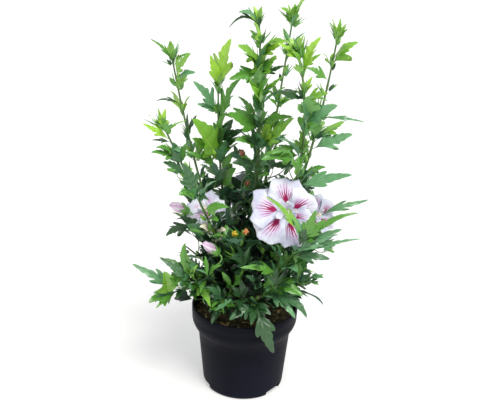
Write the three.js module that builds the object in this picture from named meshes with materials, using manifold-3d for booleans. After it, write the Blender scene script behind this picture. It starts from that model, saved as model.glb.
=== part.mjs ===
// Rose of sharon (Hibiscus syriacus), a young multi-stemmed shrub in its nursery pot.
// Millimetres, +Z up. The origin is the centre of the pot's flat underside, and the
// shrub's best side faces -Y.
import * as THREE from "three";
import { mergeVertices } from "three/addons/utils/BufferGeometryUtils.js";
import Module from "manifold-3d";

const wasm = await Module();
wasm.setup();
const { Manifold } = wasm;

// ---- Driving dimensions -------------------------------------------------------------

const clearance = 0.3; // left between neighbouring solids

const pot = {
  height: 165,
  rimRadius: 100,
  wall: 1.8,
  lipWidth: 3,
  lipHeight: 3,
  collarFoot: 115, // the collar starts to swell out of the body at this height
  collarTop: 142, // and stands upright from here to the rim
  bodyRadius: 88,
  footRadius: 77,
  footRounding: 3,
  floor: 2.4,
  sides: 36,
};

const notch = { bearings: [-39, 81, 201], width: 40, height: 11, depth: 9 };

const soil = { top: 150, edgeTop: 146, sides: 24 };

const stem = { foot: 150 + clearance, top: 186, flareRadius: 16, flareHeight: 13, radius: 12.2 };

const caneRing = 8.5; // canes stand round the leader on this radius, inside the main stem
const caneFoot = 176;
const limbSides = 6;
const twigSides = 3;
const twigTip = 1.4; // radius of a shoot at its end

// Tall canes: where each leaves the main stem, the point it bends towards, its tip, the
// radius of its foot, and the share of it that is a bare bough.
const tallCanes = {
  leader: { bearing: 0, ring: 0, knee: [27, 0, 485], tip: [10, 0, 690], radius: 5, bare: 0.3 },
  far_left: { bearing: 185, knee: [-92, 33, 357], tip: [-143, 57, 621], radius: 3.2, bare: 0.3 },
  left: { bearing: 245, knee: [-45, -50, 303], tip: [-148, -74, 526], radius: 3.4, bare: 0.3 },
  mid_left: { bearing: 125, knee: [-59, 37, 347], tip: [-60, 77, 567], radius: 3.6, bare: 0.3 },
  back: { bearing: 65, knee: [26, 56, 355], tip: [70, 93, 685], radius: 3.4, bare: 0.32 },
  mid_right: { bearing: 305, knee: [131, -59, 461], tip: [71, -85, 652], radius: 3.8, bare: 0.28 },
  right: { bearing: 5, knee: [110, 15, 376], tip: [143, 32, 663], radius: 3.6, bare: 0.3 },
};

// Low shoots leave the side of the main stem at a height, and are leafy almost from it.
const lowShoots = {
  low_left: { bearing: 180, foot: 158, knee: [-75, -14, 232], tip: [-146, -24, 206] },
  left_rise: { bearing: 203, foot: 163, knee: [-55, -32, 214], tip: [-99, -58, 236] },
  left_bloom: { bearing: 215, foot: 172, knee: [-46, -26, 262], tip: [-106, -12, 338] },
  mid_left_low: { bearing: 228, foot: 160, knee: [-45, -52, 232], tip: [-86, -78, 262] },
  front_left: { bearing: 244, foot: 168, knee: [-24, -44, 205], tip: [-44, -84, 208] },
  mid_front: { bearing: 262, foot: 158, knee: [-8, -54, 250], tip: [-14, -80, 322] },
  front: { bearing: 284, foot: 156, knee: [10, -56, 212], tip: [19, -94, 208] },
  front_right: { bearing: 303, foot: 165, knee: [45, -72, 228], tip: [99, -120, 356] },
  right_bloom: { bearing: 272, foot: 169, knee: [28, -42, 290], tip: [66, -60, 380] },
  right_low: { bearing: 325, foot: 157, knee: [68, -56, 222], tip: [128, -86, 284] },
  right_mid: { bearing: 338, foot: 170, knee: [72, -30, 268], tip: [126, -44, 362] },
  right_side: { bearing: 358, foot: 159, knee: [92, 4, 226], tip: [166, 6, 250] },
  back_right_low: { bearing: 22, foot: 165, knee: [84, 42, 226], tip: [152, 78, 262] },
  back_right: { bearing: 40, foot: 174, knee: [48, 58, 270], tip: [98, 112, 350] },
  back_low: { bearing: 74, foot: 160, knee: [14, 86, 226], tip: [24, 152, 246] },
  back_mid: { bearing: 92, foot: 172, knee: [-4, 70, 276], tip: [-8, 132, 352] },
  back_left: { bearing: 152, foot: 168, knee: [-48, 60, 280], tip: [-98, 108, 358] },
  back_left_low: { bearing: 162, foot: 160, knee: [-82, 42, 226], tip: [-150, 78, 258] },
};
const lowShootRadius = 2.6;
const lowShootBare = 0.3;

// Leaves stand in tufts. Each tuft has one main leaf and smaller companions, given as
// the turn round the shoot in degrees and the share of the main leaf's length.
const tufts = {
  tall: { spacing: 40, leafLength: 66, leaves: [[0, 1], [118, 0.7], [-104, 0.5]] },
  low: { spacing: 33, leafLength: 70, leaves: [[0, 1], [118, 0.7]] },
};
const goldenAngle = 137.5;
const budTuft = { tall: 3, low: 2, length: 32, open: 24 }; // the closed tuft at a tip

// Stations down a leaf: share of the length at the margin and under the midrib, and
// half the width as a share of the length. A lobed leaf's third is its pair of side
// lobes, and the smaller leaves of a tuft are plain.
const lobedLeaf = [
  { margin: 0, rib: 0, half: 0.009, depth: 0.7 },
  { margin: 0.17, rib: 0.17, half: 0.02, depth: 1.5 },
  { margin: 0.56, rib: 0.42, half: 0.3, depth: 1.5 },
  { margin: 0.62, rib: 0.64, half: 0.12, depth: 1.5 },
  { margin: 1, rib: 1, half: 0, depth: 0 },
];
const plainLeaf = [
  { margin: 0, rib: 0, half: 0.011, depth: 0.7 },
  { margin: 0.52, rib: 0.46, half: 0.2, depth: 1.5 },
  { margin: 1, rib: 1, half: 0, depth: 0 },
];
const rootDepth = 0.9; // how deep a leaf's root sits in its shoot, as a share of its radius
const tuftStep = 5; // the leaves of a tuft leave the shoot this far apart

// Leaves that stand out from the crown: how far along the shoot, and where the tip is.
const longLeaves = {
  leader: [[0.98, [-39, -24, 677]], [0.88, [56, -50, 660]], [0.86, [-16, -44, 641]],
    [0.6, [71, -62, 540]], [0.58, [-37, -50, 541]]],
  far_left: [[0.97, [-176, 40, 649]], [0.9, [-120, 34, 627]], [0.75, [-166, 30, 542]]],
  left: [[0.96, [-186, -96, 533]], [0.92, [-124, -92, 536]], [0.74, [-137, -96, 465]]],
  mid_left: [[0.97, [-38, 70, 651]], [0.94, [-73, 66, 619]], [0.83, [-17, 50, 588]],
    [0.8, [-104, 50, 576]], [0.66, [-90, 30, 506]]],
  back: [[0.97, [49, 80, 696]], [0.87, [93, 70, 665]]],
  mid_right: [[0.985, [106, -100, 675]], [0.95, [39, -96, 662]], [0.68, [137, -80, 561]],
    [0.55, [169, -84, 448]]],
  right: [[0.96, [179, 20, 654]], [0.86, [94, 20, 609]], [0.74, [202, 10, 518]],
    [0.68, [182, 10, 503]]],
  low_left: [[0.97, [-208, -30, 252]], [0.9, [-176, -44, 176]], [0.7, [-130, -66, 195]]],
  left_rise: [[0.93, [-109, -66, 309]], [0.85, [-153, -54, 278]]],
  left_bloom: [[0.93, [-147, -20, 311]], [0.8, [-119, -34, 395]]],
  front: [[0.95, [54, -126, 135]], [0.8, [-22, -118, 190]]],
  front_left: [[0.95, [-56, -118, 214]]],
  front_right: [[0.95, [180, -130, 396]], [0.97, [28, -142, 427]], [0.6, [140, -126, 317]]],
  right_low: [[0.97, [196, -104, 346]], [0.85, [131, -122, 278]], [0.7, [112, -84, 181]]],
  right_mid: [[0.97, [211, -40, 390]]],
};

// Open flowers and buds: centre, way it faces and radius (a bud's length).
const flowers = {
  right_bloom: [{ kind: "open", at: [70, -92, 384], facing: [-0.06, -0.95, 0.3], size: 57 }],
  right_mid: [{ kind: "open", at: [132, -50, 362], facing: [0.8, -0.5, 0.3], size: 36 }],
  left_bloom: [
    { kind: "open", at: [-68, -8, 357], facing: [-0.42, -0.88, 0.2], size: 38 },
    { kind: "bud", at: [-122, -16, 358], facing: [-0.9, -0.1, 0.4], size: 32 },
  ],
  mid_front: [
    { kind: "bud", at: [-20, -90, 341], facing: [-0.3, -0.8, 0.5], size: 15 },
    { kind: "bud", at: [-2, -90, 345], facing: [0.3, -0.8, 0.5], size: 15 },
  ],
  mid_left_low: [{ kind: "bud", at: [-70, -78, 308], facing: [-0.86, -0.1, 0.5], size: 30 }],
  back_mid: [{ kind: "open", at: [-8, 160, 344], facing: [-0.1, 0.95, 0.28], size: 52 }],
  back_right: [{ kind: "open", at: [112, 134, 344], facing: [0.6, 0.75, 0.28], size: 46 }],
  back_left: [{ kind: "bud", at: [-110, 122, 376], facing: [-0.6, 0.5, 0.6], size: 30 }],
};
const petals = 5;
const bloom = { throat: 0.42, thickness: 1.7, notch: 0.22, columnRadius: 2.2, columnLength: 0.42 };
const pedicelRadius = 1.4;

const materials = {
  pot: new THREE.MeshStandardMaterial({ color: 0x16171f, roughness: 0.5, metalness: 0 }),
  soil: new THREE.MeshStandardMaterial({ color: 0x33261a, roughness: 0.95, metalness: 0 }),
  wood: new THREE.MeshStandardMaterial({ color: 0x6b6a45, roughness: 0.8, metalness: 0 }),
  foliage: new THREE.MeshStandardMaterial({ color: 0x4c8a34, roughness: 0.6, metalness: 0 }),
};

// ---- Solids and geometries ----------------------------------------------------------

const upward = new THREE.Vector3(0, 0, 1);
const rearward = new THREE.Vector3(0, 1, 0);
const radians = THREE.MathUtils.degToRad;

function solidOf(geometry) {
  geometry.deleteAttribute("normal");
  geometry.deleteAttribute("uv");
  const merged = mergeVertices(geometry, 1e-4);
  const vertProperties = new Float32Array(merged.attributes.position.array);
  const triVerts = new Uint32Array(merged.index.array);
  return new Manifold(new wasm.Mesh({ numProp: 3, vertProperties, triVerts }));
}

function geometryOf(solid) {
  const mesh = solid.getMesh();
  const geometry = new THREE.BufferGeometry();
  geometry.setAttribute("position", new THREE.BufferAttribute(mesh.vertProperties, mesh.numProp));
  geometry.setIndex(new THREE.BufferAttribute(mesh.triVerts, 1));
  geometry.computeVertexNormals();
  return geometry;
}

// Moves every vertex of a geometry to the place that a function gives for it.
function reshaped(geometry, place) {
  const position = geometry.attributes.position;
  const point = new THREE.Vector3();
  for (let i = 0; i < position.count; i += 1) {
    point.copy(place(point.fromBufferAttribute(position, i)));
    position.setXYZ(i, point.x, point.y, point.z);
  }
  return geometry;
}

// A closed profile of [radius, height] pairs, turned round the vertical axis.
function turned(profile, sides) {
  const points = profile.map(([radius, height]) => new THREE.Vector2(radius, height));
  const geometry = new THREE.LatheGeometry(points, sides);
  geometry.rotateX(Math.PI / 2);
  return geometry;
}

// The same stream of numbers from 0 to 1 for the same seed.
function drawsFrom(seed) {
  const modulus = 2147483647;
  let state = (seed * 48271) % modulus;
  return () => {
    state = (state * 16807) % modulus;
    return state / modulus;
  };
}

// Two directions square to a shoot: the first across it, the second completes the set.
function squareTo(along) {
  const across = new THREE.Vector3().crossVectors(along, rearward).normalize();
  const other = new THREE.Vector3().crossVectors(across, along).normalize();
  return [across, other];
}

// A tapering round limb that follows a curve from one share of it to another.
function limb(curve, from, to, footRadius, tipRadius, sides, steps) {
  const cylinder = new THREE.CylinderGeometry(tipRadius, footRadius, 1, sides, steps);
  return reshaped(cylinder, (local) => {
    const share = THREE.MathUtils.lerp(from, to, local.y + 0.5);
    const [across, other] = squareTo(curve.getTangent(share));
    return curve
      .getPoint(share)
      .addScaledVector(across, local.x)
      .addScaledVector(other, local.z);
  });
}

// ---- Pot, soil and main stem --------------------------------------------------------

// Radius of the pot's outer face at a height: a tapered body under a swelling collar.
function potRadius(height) {
  if (height >= pot.collarTop) {
    return pot.rimRadius;
  }
  if (height <= pot.collarFoot) {
    return THREE.MathUtils.lerp(pot.footRadius, pot.bodyRadius, height / pot.collarFoot);
  }
  const rise = (height - pot.collarFoot) / (pot.collarTop - pot.collarFoot);
  return THREE.MathUtils.lerp(pot.bodyRadius, pot.rimRadius, Math.sin((rise * Math.PI) / 2) ** 0.9);
}

function potWall() {
  const collarSteps = 6;
  const collar = [];
  for (let i = 0; i <= collarSteps; i += 1) {
    const height = THREE.MathUtils.lerp(pot.collarFoot, pot.collarTop, i / collarSteps);
    collar.push([potRadius(height), height]);
  }
  const outside = [
    [0, 0],
    [pot.footRadius - pot.footRounding, 0],
    [pot.footRadius - pot.footRounding * 0.3, pot.footRounding * 0.3],
    [potRadius(pot.footRounding), pot.footRounding],
    ...collar,
    [pot.rimRadius, pot.height - 1],
    [pot.rimRadius - 1, pot.height],
  ];
  const lipInside = pot.rimRadius - pot.lipWidth;
  const inside = [
    [lipInside, pot.height],
    [lipInside, pot.height - pot.lipHeight],
    [pot.rimRadius - pot.wall, pot.height - pot.lipHeight - 2],
    ...collar.map(([radius, height]) => [radius - pot.wall, height]).reverse(),
    [potRadius(pot.floor) - pot.wall, pot.floor],
    [0, pot.floor],
  ];
  return solidOf(turned([...outside, ...inside], pot.sides));
}

// Drainage notches through the foot's edge.
function notchCutter(bearing) {
  const reach = pot.footRadius - notch.depth / 2 + 5;
  const block = new THREE.BoxGeometry(notch.depth + 10, notch.width, notch.height * 2);
  block.translate(reach, 0, 0);
  block.rotateZ(radians(bearing));
  return solidOf(block);
}

function pottedSoil() {
  const inset = pot.wall + clearance;
  const collarInside = [0.25, 0.5, 0.75].map((rise) => {
    const height = THREE.MathUtils.lerp(pot.collarFoot, pot.collarTop, rise);
    return [potRadius(height) - inset - 0.6, height];
  });
  const outline = [
    [0, pot.floor + clearance],
    [pot.footRadius - notch.depth - 2, pot.floor + clearance],
    [pot.footRadius - notch.depth - 2, notch.height + 1],
    [potRadius(notch.height + 8) - inset - 0.6, notch.height + 8],
    [pot.bodyRadius - inset - 0.6, pot.collarFoot],
    ...collarInside,
    [pot.rimRadius - inset - 0.6, pot.collarTop],
    [pot.rimRadius - inset - 0.6, soil.edgeTop],
    [pot.rimRadius * 0.82, soil.edgeTop + 2.5],
    [stem.flareRadius * 2.4, soil.top],
    [0, soil.top],
  ];
  return solidOf(turned(outline, soil.sides));
}

function stemProfile(spread) {
  const { foot, top, flareRadius, flareHeight, radius } = stem;
  return [
    [0, foot - spread],
    [flareRadius + spread, foot - spread],
    [flareRadius - 1.6 + spread, foot + flareHeight * 0.3],
    [radius + 0.5 + spread, foot + flareHeight],
    [radius - 0.4 + spread, (foot + top) / 2],
    [radius + 0.6 + spread, top - 3],
    [radius - 0.6 + spread, top + spread],
    [0, top + spread],
  ];
}

// ---- Shoots -------------------------------------------------------------------------

function curveOf({ bearing, ring, foot, knee, tip }) {
  const reach = ring ?? caneRing;
  const angle = radians(bearing);
  const start = new THREE.Vector3(reach * Math.cos(angle), reach * Math.sin(angle), foot ?? caneFoot);
  return new THREE.QuadraticBezierCurve3(start, new THREE.Vector3(...knee), new THREE.Vector3(...tip));
}

function radiusAt(shoot, share) {
  return THREE.MathUtils.lerp(shoot.radius, twigTip, share);
}

// A leaf's frame where it leaves the shoot: which way it points and its upper side.
function leafFrame(shoot, curve, leaf) {
  const along = curve.getTangent(leaf.at);
  const [across, other] = squareTo(along);
  const base = curve.getPoint(leaf.at);
  let heading;
  let outward;
  if (leaf.to) {
    heading = new THREE.Vector3(...leaf.to).sub(base).normalize();
    outward = heading.clone().addScaledVector(along, -heading.dot(along)).normalize();
  } else {
    outward = across.multiplyScalar(Math.cos(leaf.turn)).addScaledVector(other, Math.sin(leaf.turn));
    heading = along.clone().multiplyScalar(Math.cos(leaf.open));
    heading.addScaledVector(outward, Math.sin(leaf.open)).addScaledVector(upward, leaf.lift).normalize();
  }
  const top = upward.clone().sub(outward);
  top.addScaledVector(heading, -top.dot(heading)).normalize().applyAxisAngle(heading, leaf.roll);
  const side = new THREE.Vector3().crossVectors(heading, top);
  base.addScaledVector(outward, radiusAt(shoot, leaf.at) * (1 - rootDepth));
  return { base, heading, top, side };
}

// A lobed leaf is a three-sided cone, drawn out at its stations and arched.
function leafSolid(shoot, curve, leaf) {
  const { base, heading, top, side } = leafFrame(shoot, curve, leaf);
  const stations = leaf.lobed ? lobedLeaf : plainLeaf;
  const last = stations.length - 1;
  const cone = new THREE.CylinderGeometry(0, 1, 1, 3, last);
  return solidOf(
    reshaped(cone, (local) => {
      const onEdge = Math.abs(local.x) > 1e-6;
      const onCap = !onEdge && Math.abs(local.z) < 1e-6 && local.y < 0;
      const underneath = local.z > 1e-6 || onCap;
      const station = stations[Math.round((local.y + 0.5) * last)];
      const share = onEdge ? station.margin : station.rib;
      const depth = underneath ? station.depth * (onCap ? 0.4 : 1) : 0;
      const arch = 4 * leaf.arch * share * (1 - share);
      return base
        .clone()
        .addScaledVector(heading, share * leaf.length)
        .addScaledVector(top, arch * leaf.length - depth)
        .addScaledVector(side, onEdge ? -Math.sign(local.x) * station.half * leaf.length : 0);
    }),
  );
}

// Where the leaves of one shoot go: long leaves first, then a tuft at every node, then
// the closed tuft at the tip.
function leavesOf(name, shoot, curve, seed) {
  const leaves = [];
  for (const [at, to] of longLeaves[name] ?? []) {
    const length = curve.getPoint(at).distanceTo(new THREE.Vector3(...to));
    leaves.push({ at, to, length, lobed: true, roll: 0, arch: 0.09 });
  }
  const leafy = curve.getLength() * (1 - shoot.bare);
  const tuft = tufts[shoot.kind];
  const nodes = Math.max(3, Math.round(leafy / tuft.spacing));
  for (let node = 0; node < nodes; node += 1) {
    const draw = drawsFrom(seed * 101 + node);
    const share = (node + 0.55) / nodes;
    const fullness = 0.82 + 0.8 * share - 1.1 * share ** 2;
    tuft.leaves.forEach(([turn, size], place) => {
      leaves.push({
        at: shoot.bare + (1 - shoot.bare) * share + (place * tuftStep) / curve.getLength(),
        lobed: place === 0,
        turn: radians(seed * 47 + node * goldenAngle + turn + 30 * (draw() - 0.5)),
        open: radians(62 - 26 * share + 16 * (draw() - 0.5)),
        lift: 0.3 * draw(),
        length: tuft.leafLength * fullness * size * (0.86 + 0.3 * draw()),
        roll: radians(50 * (draw() - 0.5)),
        arch: 0.02 + 0.09 * draw(),
      });
    });
  }
  const draw = drawsFrom(seed * 101 + 97);
  for (let i = 0; i < budTuft[shoot.kind]; i += 1) {
    leaves.push({
      at: 0.985,
      lobed: false,
      turn: radians((360 * i) / budTuft[shoot.kind] + 40 * draw()),
      open: radians(budTuft.open + 14 * draw()),
      lift: 0,
      length: budTuft.length * (0.8 + 0.4 * draw()),
      roll: 0,
      arch: 0.05,
    });
  }
  return leaves;
}

// ---- Flowers ------------------------------------------------------------------------

// A radius is drawn in between the petals, the more so the nearer it is to their ends.
function petalOutline(angle, share) {
  const pitch = (2 * Math.PI) / petals;
  const off = Math.abs(((angle / pitch + 1000.5) % 1) - 0.5) * 2;
  return 1 - bloom.notch * off ** 2 * share ** 2;
}

// Everything of a flower is modelled round +Z and then turned to the way it faces.
function facingSolid(geometry, flower) {
  const facing = new THREE.Vector3(...flower.facing).normalize();
  geometry.applyQuaternion(new THREE.Quaternion().setFromUnitVectors(upward, facing));
  geometry.translate(...flower.at);
  return solidOf(geometry);
}

function openBloom(flower) {
  const radius = flower.size;
  const throat = -bloom.throat * radius;
  const profile = [
    [0, throat - 2],
    [radius * 0.36, -radius * 0.16 - bloom.thickness],
    [radius, -radius * 0.03 - bloom.thickness * 0.5],
    [radius, -radius * 0.03 + bloom.thickness * 0.5],
    [radius * 0.36, -radius * 0.16],
    [bloom.columnRadius, throat + 3],
    [bloom.columnRadius * 0.8, throat + bloom.columnLength * radius],
    [0, throat + bloom.columnLength * radius + 2],
  ];
  const dish = reshaped(turned(profile, petals * 3), (point) => {
    const reach = Math.hypot(point.x, point.y);
    const factor = petalOutline(Math.atan2(point.y, point.x) + radians(12), reach / radius);
    return point.set(point.x * factor, point.y * factor, point.z);
  });
  return Manifold.union([facingSolid(dish, flower), calyx(flower, throat + 2, 7)]);
}

function calyx(flower, top, radius) {
  const profile = [
    [0, top - 15],
    [pedicelRadius * 1.6, top - 14],
    [radius, top - 5],
    [radius * 0.9, top],
    [0, top + 1],
  ];
  return facingSolid(turned(profile, 6), flower);
}

function furledBud(flower) {
  const length = flower.size;
  const girth = 0.27 * length + 1.5;
  const profile = [
    [0, -length * 0.5],
    [girth * 0.8, -length * 0.3],
    [girth, 0],
    [girth * 0.6, length * 0.36],
    [0, length * 0.5],
  ];
  return Manifold.union([
    facingSolid(turned(profile, 6), flower),
    calyx(flower, -length * 0.24, girth * 0.9),
  ]);
}

// The stalk runs from the back of the calyx to the shoot's tip end.
function pedicel(flower, curve) {
  const facing = new THREE.Vector3(...flower.facing).normalize();
  const depth = flower.kind === "open" ? bloom.throat * flower.size + 8 : flower.size * 0.24 + 10;
  const back = new THREE.Vector3(...flower.at).addScaledVector(facing, -depth);
  const root = curve.getPoint(0.93);
  const bend = back.clone().addScaledVector(facing, -back.distanceTo(root) * 0.5);
  const line = new THREE.QuadraticBezierCurve3(root, bend, back);
  return solidOf(limb(line, 0, 1, pedicelRadius * 0.9, pedicelRadius, 4, 3));
}

function flowerSolid(flower, curve) {
  const head = flower.kind === "open" ? openBloom(flower) : furledBud(flower);
  return Manifold.union([head, pedicel(flower, curve)]);
}

// ---- Assembly -----------------------------------------------------------------------

const placed = []; // every solid that is set, with its owner and its box

function place(owner, solid) {
  placed.push({ owner, solid, box: solid.boundingBox() });
  return solid;
}

function boxesApart(one, other) {
  return [0, 1, 2].some(
    (i) => one.min[i] > other.max[i] + clearance || other.min[i] > one.max[i] + clearance,
  );
}

function isClear(shoot, solid) {
  const box = solid.boundingBox();
  return placed.every(
    (other) =>
      other.owner === shoot ||
      boxesApart(box, other.box) ||
      solid.minGap(other.solid, clearance) >= clearance - 1e-6,
  );
}

// Fuses a mass and keeps its one outer body: scraps are dropped and sealed voids filled.
function fused(solids) {
  const pieces = Manifold.union(solids).decompose();
  return pieces.reduce((best, piece) => (piece.volume() > best.volume() ? piece : best));
}

const plant = new THREE.Group();

function addNode(name, solid, material) {
  const mesh = new THREE.Mesh(geometryOf(solid), material.clone());
  mesh.name = name;
  plant.add(mesh);
}

const potSolid = notch.bearings.reduce(
  (solid, bearing) => solid.subtract(notchCutter(bearing)),
  potWall(),
);
const stemSolid = solidOf(turned(stemProfile(0), 12));
const stemSpace = solidOf(turned(stemProfile(clearance), 12));
addNode("pot", place("pot", potSolid), materials.pot);
addNode("potting_soil", place("potting_soil", pottedSoil()), materials.soil);
addNode("main_stem", place("main_stem", stemSolid), materials.wood);

const shoots = {};
for (const [name, cane] of Object.entries(tallCanes)) {
  shoots[name] = { ...cane, kind: "tall" };
}
for (const [name, shoot] of Object.entries(lowShoots)) {
  shoots[name] = { ...shoot, kind: "low", radius: lowShootRadius, bare: lowShootBare };
}

const masses = Object.entries(shoots).map(([name, shoot], index) => {
  const curve = curveOf(shoot);
  const steps = Math.round(curve.getLength() / 45);
  let from = 0;
  if (shoot.kind === "tall") {
    const forkRadius = radiusAt(shoot, shoot.bare);
    const bough = solidOf(limb(curve, 0, shoot.bare, shoot.radius, forkRadius, limbSides, 3));
    addNode(`bough_${name}`, place(`bough_${name}`, bough.subtract(stemSpace)), materials.wood);
    from = shoot.bare + clearance / curve.getLength();
  }
  const shaft = solidOf(limb(curve, from, 1, radiusAt(shoot, from), twigTip, twigSides, steps));
  const twig = shoot.kind === "tall" ? shaft : shaft.subtract(stemSpace);
  return { name, shoot, curve, seed: index + 1, solids: [place(name, twig)] };
});

for (const mass of masses) {
  for (const flower of flowers[mass.name] ?? []) {
    mass.solids.push(place(`${mass.name} flower`, flowerSolid(flower, mass.curve)));
  }
}

for (const { name, shoot, curve, seed, solids } of masses) {
  for (const leaf of leavesOf(name, shoot, curve, seed)) {
    const solid = leafSolid(shoot, curve, leaf);
    if (isClear(name, solid)) {
      solids.push(place(`${name} leaf`, solid));
    }
  }
}

for (const { name, solids } of masses) {
  addNode(`foliage_${name}`, fused(solids), materials.foliage);
}

export default plant;
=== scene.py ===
"""A rose of sharon in flower in its nursery pot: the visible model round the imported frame."""

import math

import bmesh
import bpy
import numpy as np
from mathutils import Matrix, Quaternion, Vector, noise


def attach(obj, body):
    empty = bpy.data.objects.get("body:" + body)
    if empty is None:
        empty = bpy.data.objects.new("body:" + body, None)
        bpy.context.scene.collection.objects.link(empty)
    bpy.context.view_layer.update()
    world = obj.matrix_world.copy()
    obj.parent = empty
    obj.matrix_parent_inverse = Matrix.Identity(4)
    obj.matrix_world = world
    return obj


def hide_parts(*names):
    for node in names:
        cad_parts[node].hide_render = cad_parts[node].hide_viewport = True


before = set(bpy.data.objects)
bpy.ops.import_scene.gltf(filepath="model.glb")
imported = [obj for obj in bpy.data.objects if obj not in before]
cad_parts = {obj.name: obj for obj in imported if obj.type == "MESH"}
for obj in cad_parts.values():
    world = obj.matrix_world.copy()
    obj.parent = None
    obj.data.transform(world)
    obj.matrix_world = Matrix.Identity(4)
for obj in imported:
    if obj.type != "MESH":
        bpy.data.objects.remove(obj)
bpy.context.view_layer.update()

# ---- Named sizes, in millimetres and degrees --------------------------------------------

MM = 0.001
UPWARD = Vector((0, 0, 1))
REARWARD = Vector((0, 1, 0))
FULL_TURN = 2 * math.pi
GOLDEN_ANGLE = 137.5

POT = dict(
    height=165, rim_radius=100, lip=0.5, lip_width=3, wall=1.8, collar_foot=115, collar_top=142,
    body_radius=88, foot_radius=77, floor=2.4, sides=144,
)
NOTCH = dict(bearings=(-39, 81, 201), width=40, height=11, depth=9)
SOIL = dict(top=150, edge_top=146, edge=97, reach=97.4, floor=2.8, sides=96, rings=30)
STEM = dict(foot=150.3, top=186, sides=96, ribs=0.1, toes=0.12, bumps=0.09)
STEM_PROFILE = (  # radius and height
    (0, 150.3), (15, 150.3), (13.2, 152.5), (11.2, 156), (10, 161), (9.8, 166), (10.4, 171),
    (11.6, 176), (12, 180), (11, 183), (8, 185.2), (0, 186),
)
CHIPS = dict(count=620, reach=95.5, dark_share=0.45)

# A limb leaves the crown at its bearing, rises towards its knee and ends at its tip. Its light
# shifts the tints of its leaves: painted shade where it is below zero, painted light above it. The
# limbs are those of the part's source, but seven end a little apart from it: left, back, right,
# low_left, right_low, right_side and back_left_low.
TALL_CANES = {
    "leader": dict(bearing=0, ring=0, knee=(27, 0, 485), tip=(10, 0, 690), radius=5, light=0.08),
    "far_left": dict(bearing=185, knee=(-92, 33, 357), tip=(-143, 57, 621), radius=3.2),
    "left": dict(bearing=245, knee=(-45, -50, 303), tip=(-143, -74, 524), radius=3.4),
    "mid_left": dict(bearing=125, knee=(-59, 37, 347), tip=(-60, 77, 567), radius=3.6),
    "back": dict(bearing=65, knee=(26, 56, 355), tip=(72, 93, 692), radius=3.4, bare=0.32),
    "mid_right": dict(bearing=305, knee=(131, -59, 461), tip=(71, -85, 652), radius=3.8, bare=0.28),
    "right": dict(bearing=5, knee=(110, 15, 376), tip=(147, 32, 667), radius=3.6),
}
LOW_SHOOTS = {
    "low_left": dict(bearing=180, foot=158, knee=(-75, -14, 232), tip=(-144, -24, 186)),
    "left_rise": dict(bearing=203, foot=163, knee=(-55, -32, 214), tip=(-99, -58, 236)),
    "left_bloom": dict(bearing=215, foot=172, knee=(-46, -26, 262), tip=(-106, -12, 338)),
    # A light of -0.14 below is painted shade on the front-left shoots; 0.06 is painted light.
    "mid_left_low": dict(bearing=228, foot=160, knee=(-45, -52, 232), tip=(-86, -78, 262), light=-0.14),
    "front_left": dict(bearing=244, foot=168, knee=(-24, -44, 205), tip=(-44, -84, 208), light=-0.14),
    "mid_front": dict(bearing=262, foot=158, knee=(-8, -54, 250), tip=(-14, -80, 322), light=-0.14),
    "front": dict(bearing=284, foot=156, knee=(10, -56, 212), tip=(19, -94, 208), light=-0.14),
    "front_right": dict(bearing=303, foot=165, knee=(45, -72, 228), tip=(99, -120, 356), light=0.06),
    "right_bloom": dict(bearing=272, foot=169, knee=(28, -42, 290), tip=(66, -60, 380)),
    "right_low": dict(bearing=325, foot=157, knee=(68, -56, 222), tip=(125, -86, 259), light=0.06),
    "right_mid": dict(bearing=338, foot=170, knee=(72, -30, 268), tip=(126, -44, 362)),
    "right_side": dict(bearing=358, foot=159, knee=(72, 4, 222), tip=(115, 5, 238)),
    "back_right_low": dict(bearing=22, foot=165, knee=(84, 42, 226), tip=(152, 78, 262)),
    "back_right": dict(bearing=40, foot=174, knee=(48, 58, 270), tip=(98, 112, 350)),
    "back_low": dict(bearing=74, foot=160, knee=(14, 86, 226), tip=(24, 152, 246)),
    "back_mid": dict(bearing=92, foot=172, knee=(-4, 70, 276), tip=(-8, 132, 352)),
    "back_left": dict(bearing=152, foot=168, knee=(-48, 60, 280), tip=(-98, 108, 358)),
    "back_left_low": dict(bearing=162, foot=160, knee=(-72, 42, 226), tip=(-120, 78, 244)),
}
PLAIN_LIMB = dict(ring=8.5, foot=176, radius=2.6, bare=0.3, light=0.0)
# Tints darken low and deep inside the crown as painted shade, and brighten high and outside as painted
# light.
CROWN = dict(foot=230, span=440, reach=150)  # within it the tints run from dark to bright
TWIG_TIP = 1.4
KNOT_WAVE = 0.157  # radians to the millimetre of the wave that makes a twig's knots
ROOT_DEPTH = 0.9  # how deep a leaf's root sits in its shoot, as a share of its radius
TUFT_STEP = 5

# What grows on a limb. A tuft's leaves are given by their turn about the limb and their size
# beside the tuft's first leaf. Brightness is the weight of the share along the limb, of the
# height and of the distance from the crown's middle in the choice of a tint; the tints follow
# the leaves' age and also stand for painted light on high outer leaves and painted shade on low inner
# ones.
HABITS = {
    "tall": dict(
        spacing=40, leaf_length=66, leaves=((0, 1), (118, 0.7), (-104, 0.5)),
        fine_leaves=((58, 0.36), (-46, 0.3), (-64, 0.82), (176, 0.44), (20, 0.5)),
        tip_leaves=3, buttons=2, brightness=(0.62, 0.5, 0.12),
        sprigs=dict(start=0.08, end=0.52, count=13, length=44),
    ),
    "low": dict(
        spacing=33, leaf_length=70, leaves=((0, 1), (118, 0.7)),
        fine_leaves=((-108, 0.62), (62, 0.5), (-52, 0.42), (172, 0.4)),
        tip_leaves=2, buttons=1, brightness=(0.26, 0.35, 0.3),
        sprigs=dict(start=0.12, end=0.92, count=5, length=34),
    ),
}
TIP_LEAVES = dict(length=32, open=24, small=3)
BRACTS = dict(count=5, length=21, open=14)
BUTTONS = dict(length=14, girth=3.2, bracts=6, reach=25)
BACKING = dict(count=9, reach=0.92, width=1.15)
SPRIG_RADII = (1.3, 0.7)
SPRIG_LEAVES = ((0.35, 30), (0.62, 40), (0.8, 44), (0.97, 40), (0.98, 30))  # share and length

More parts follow.
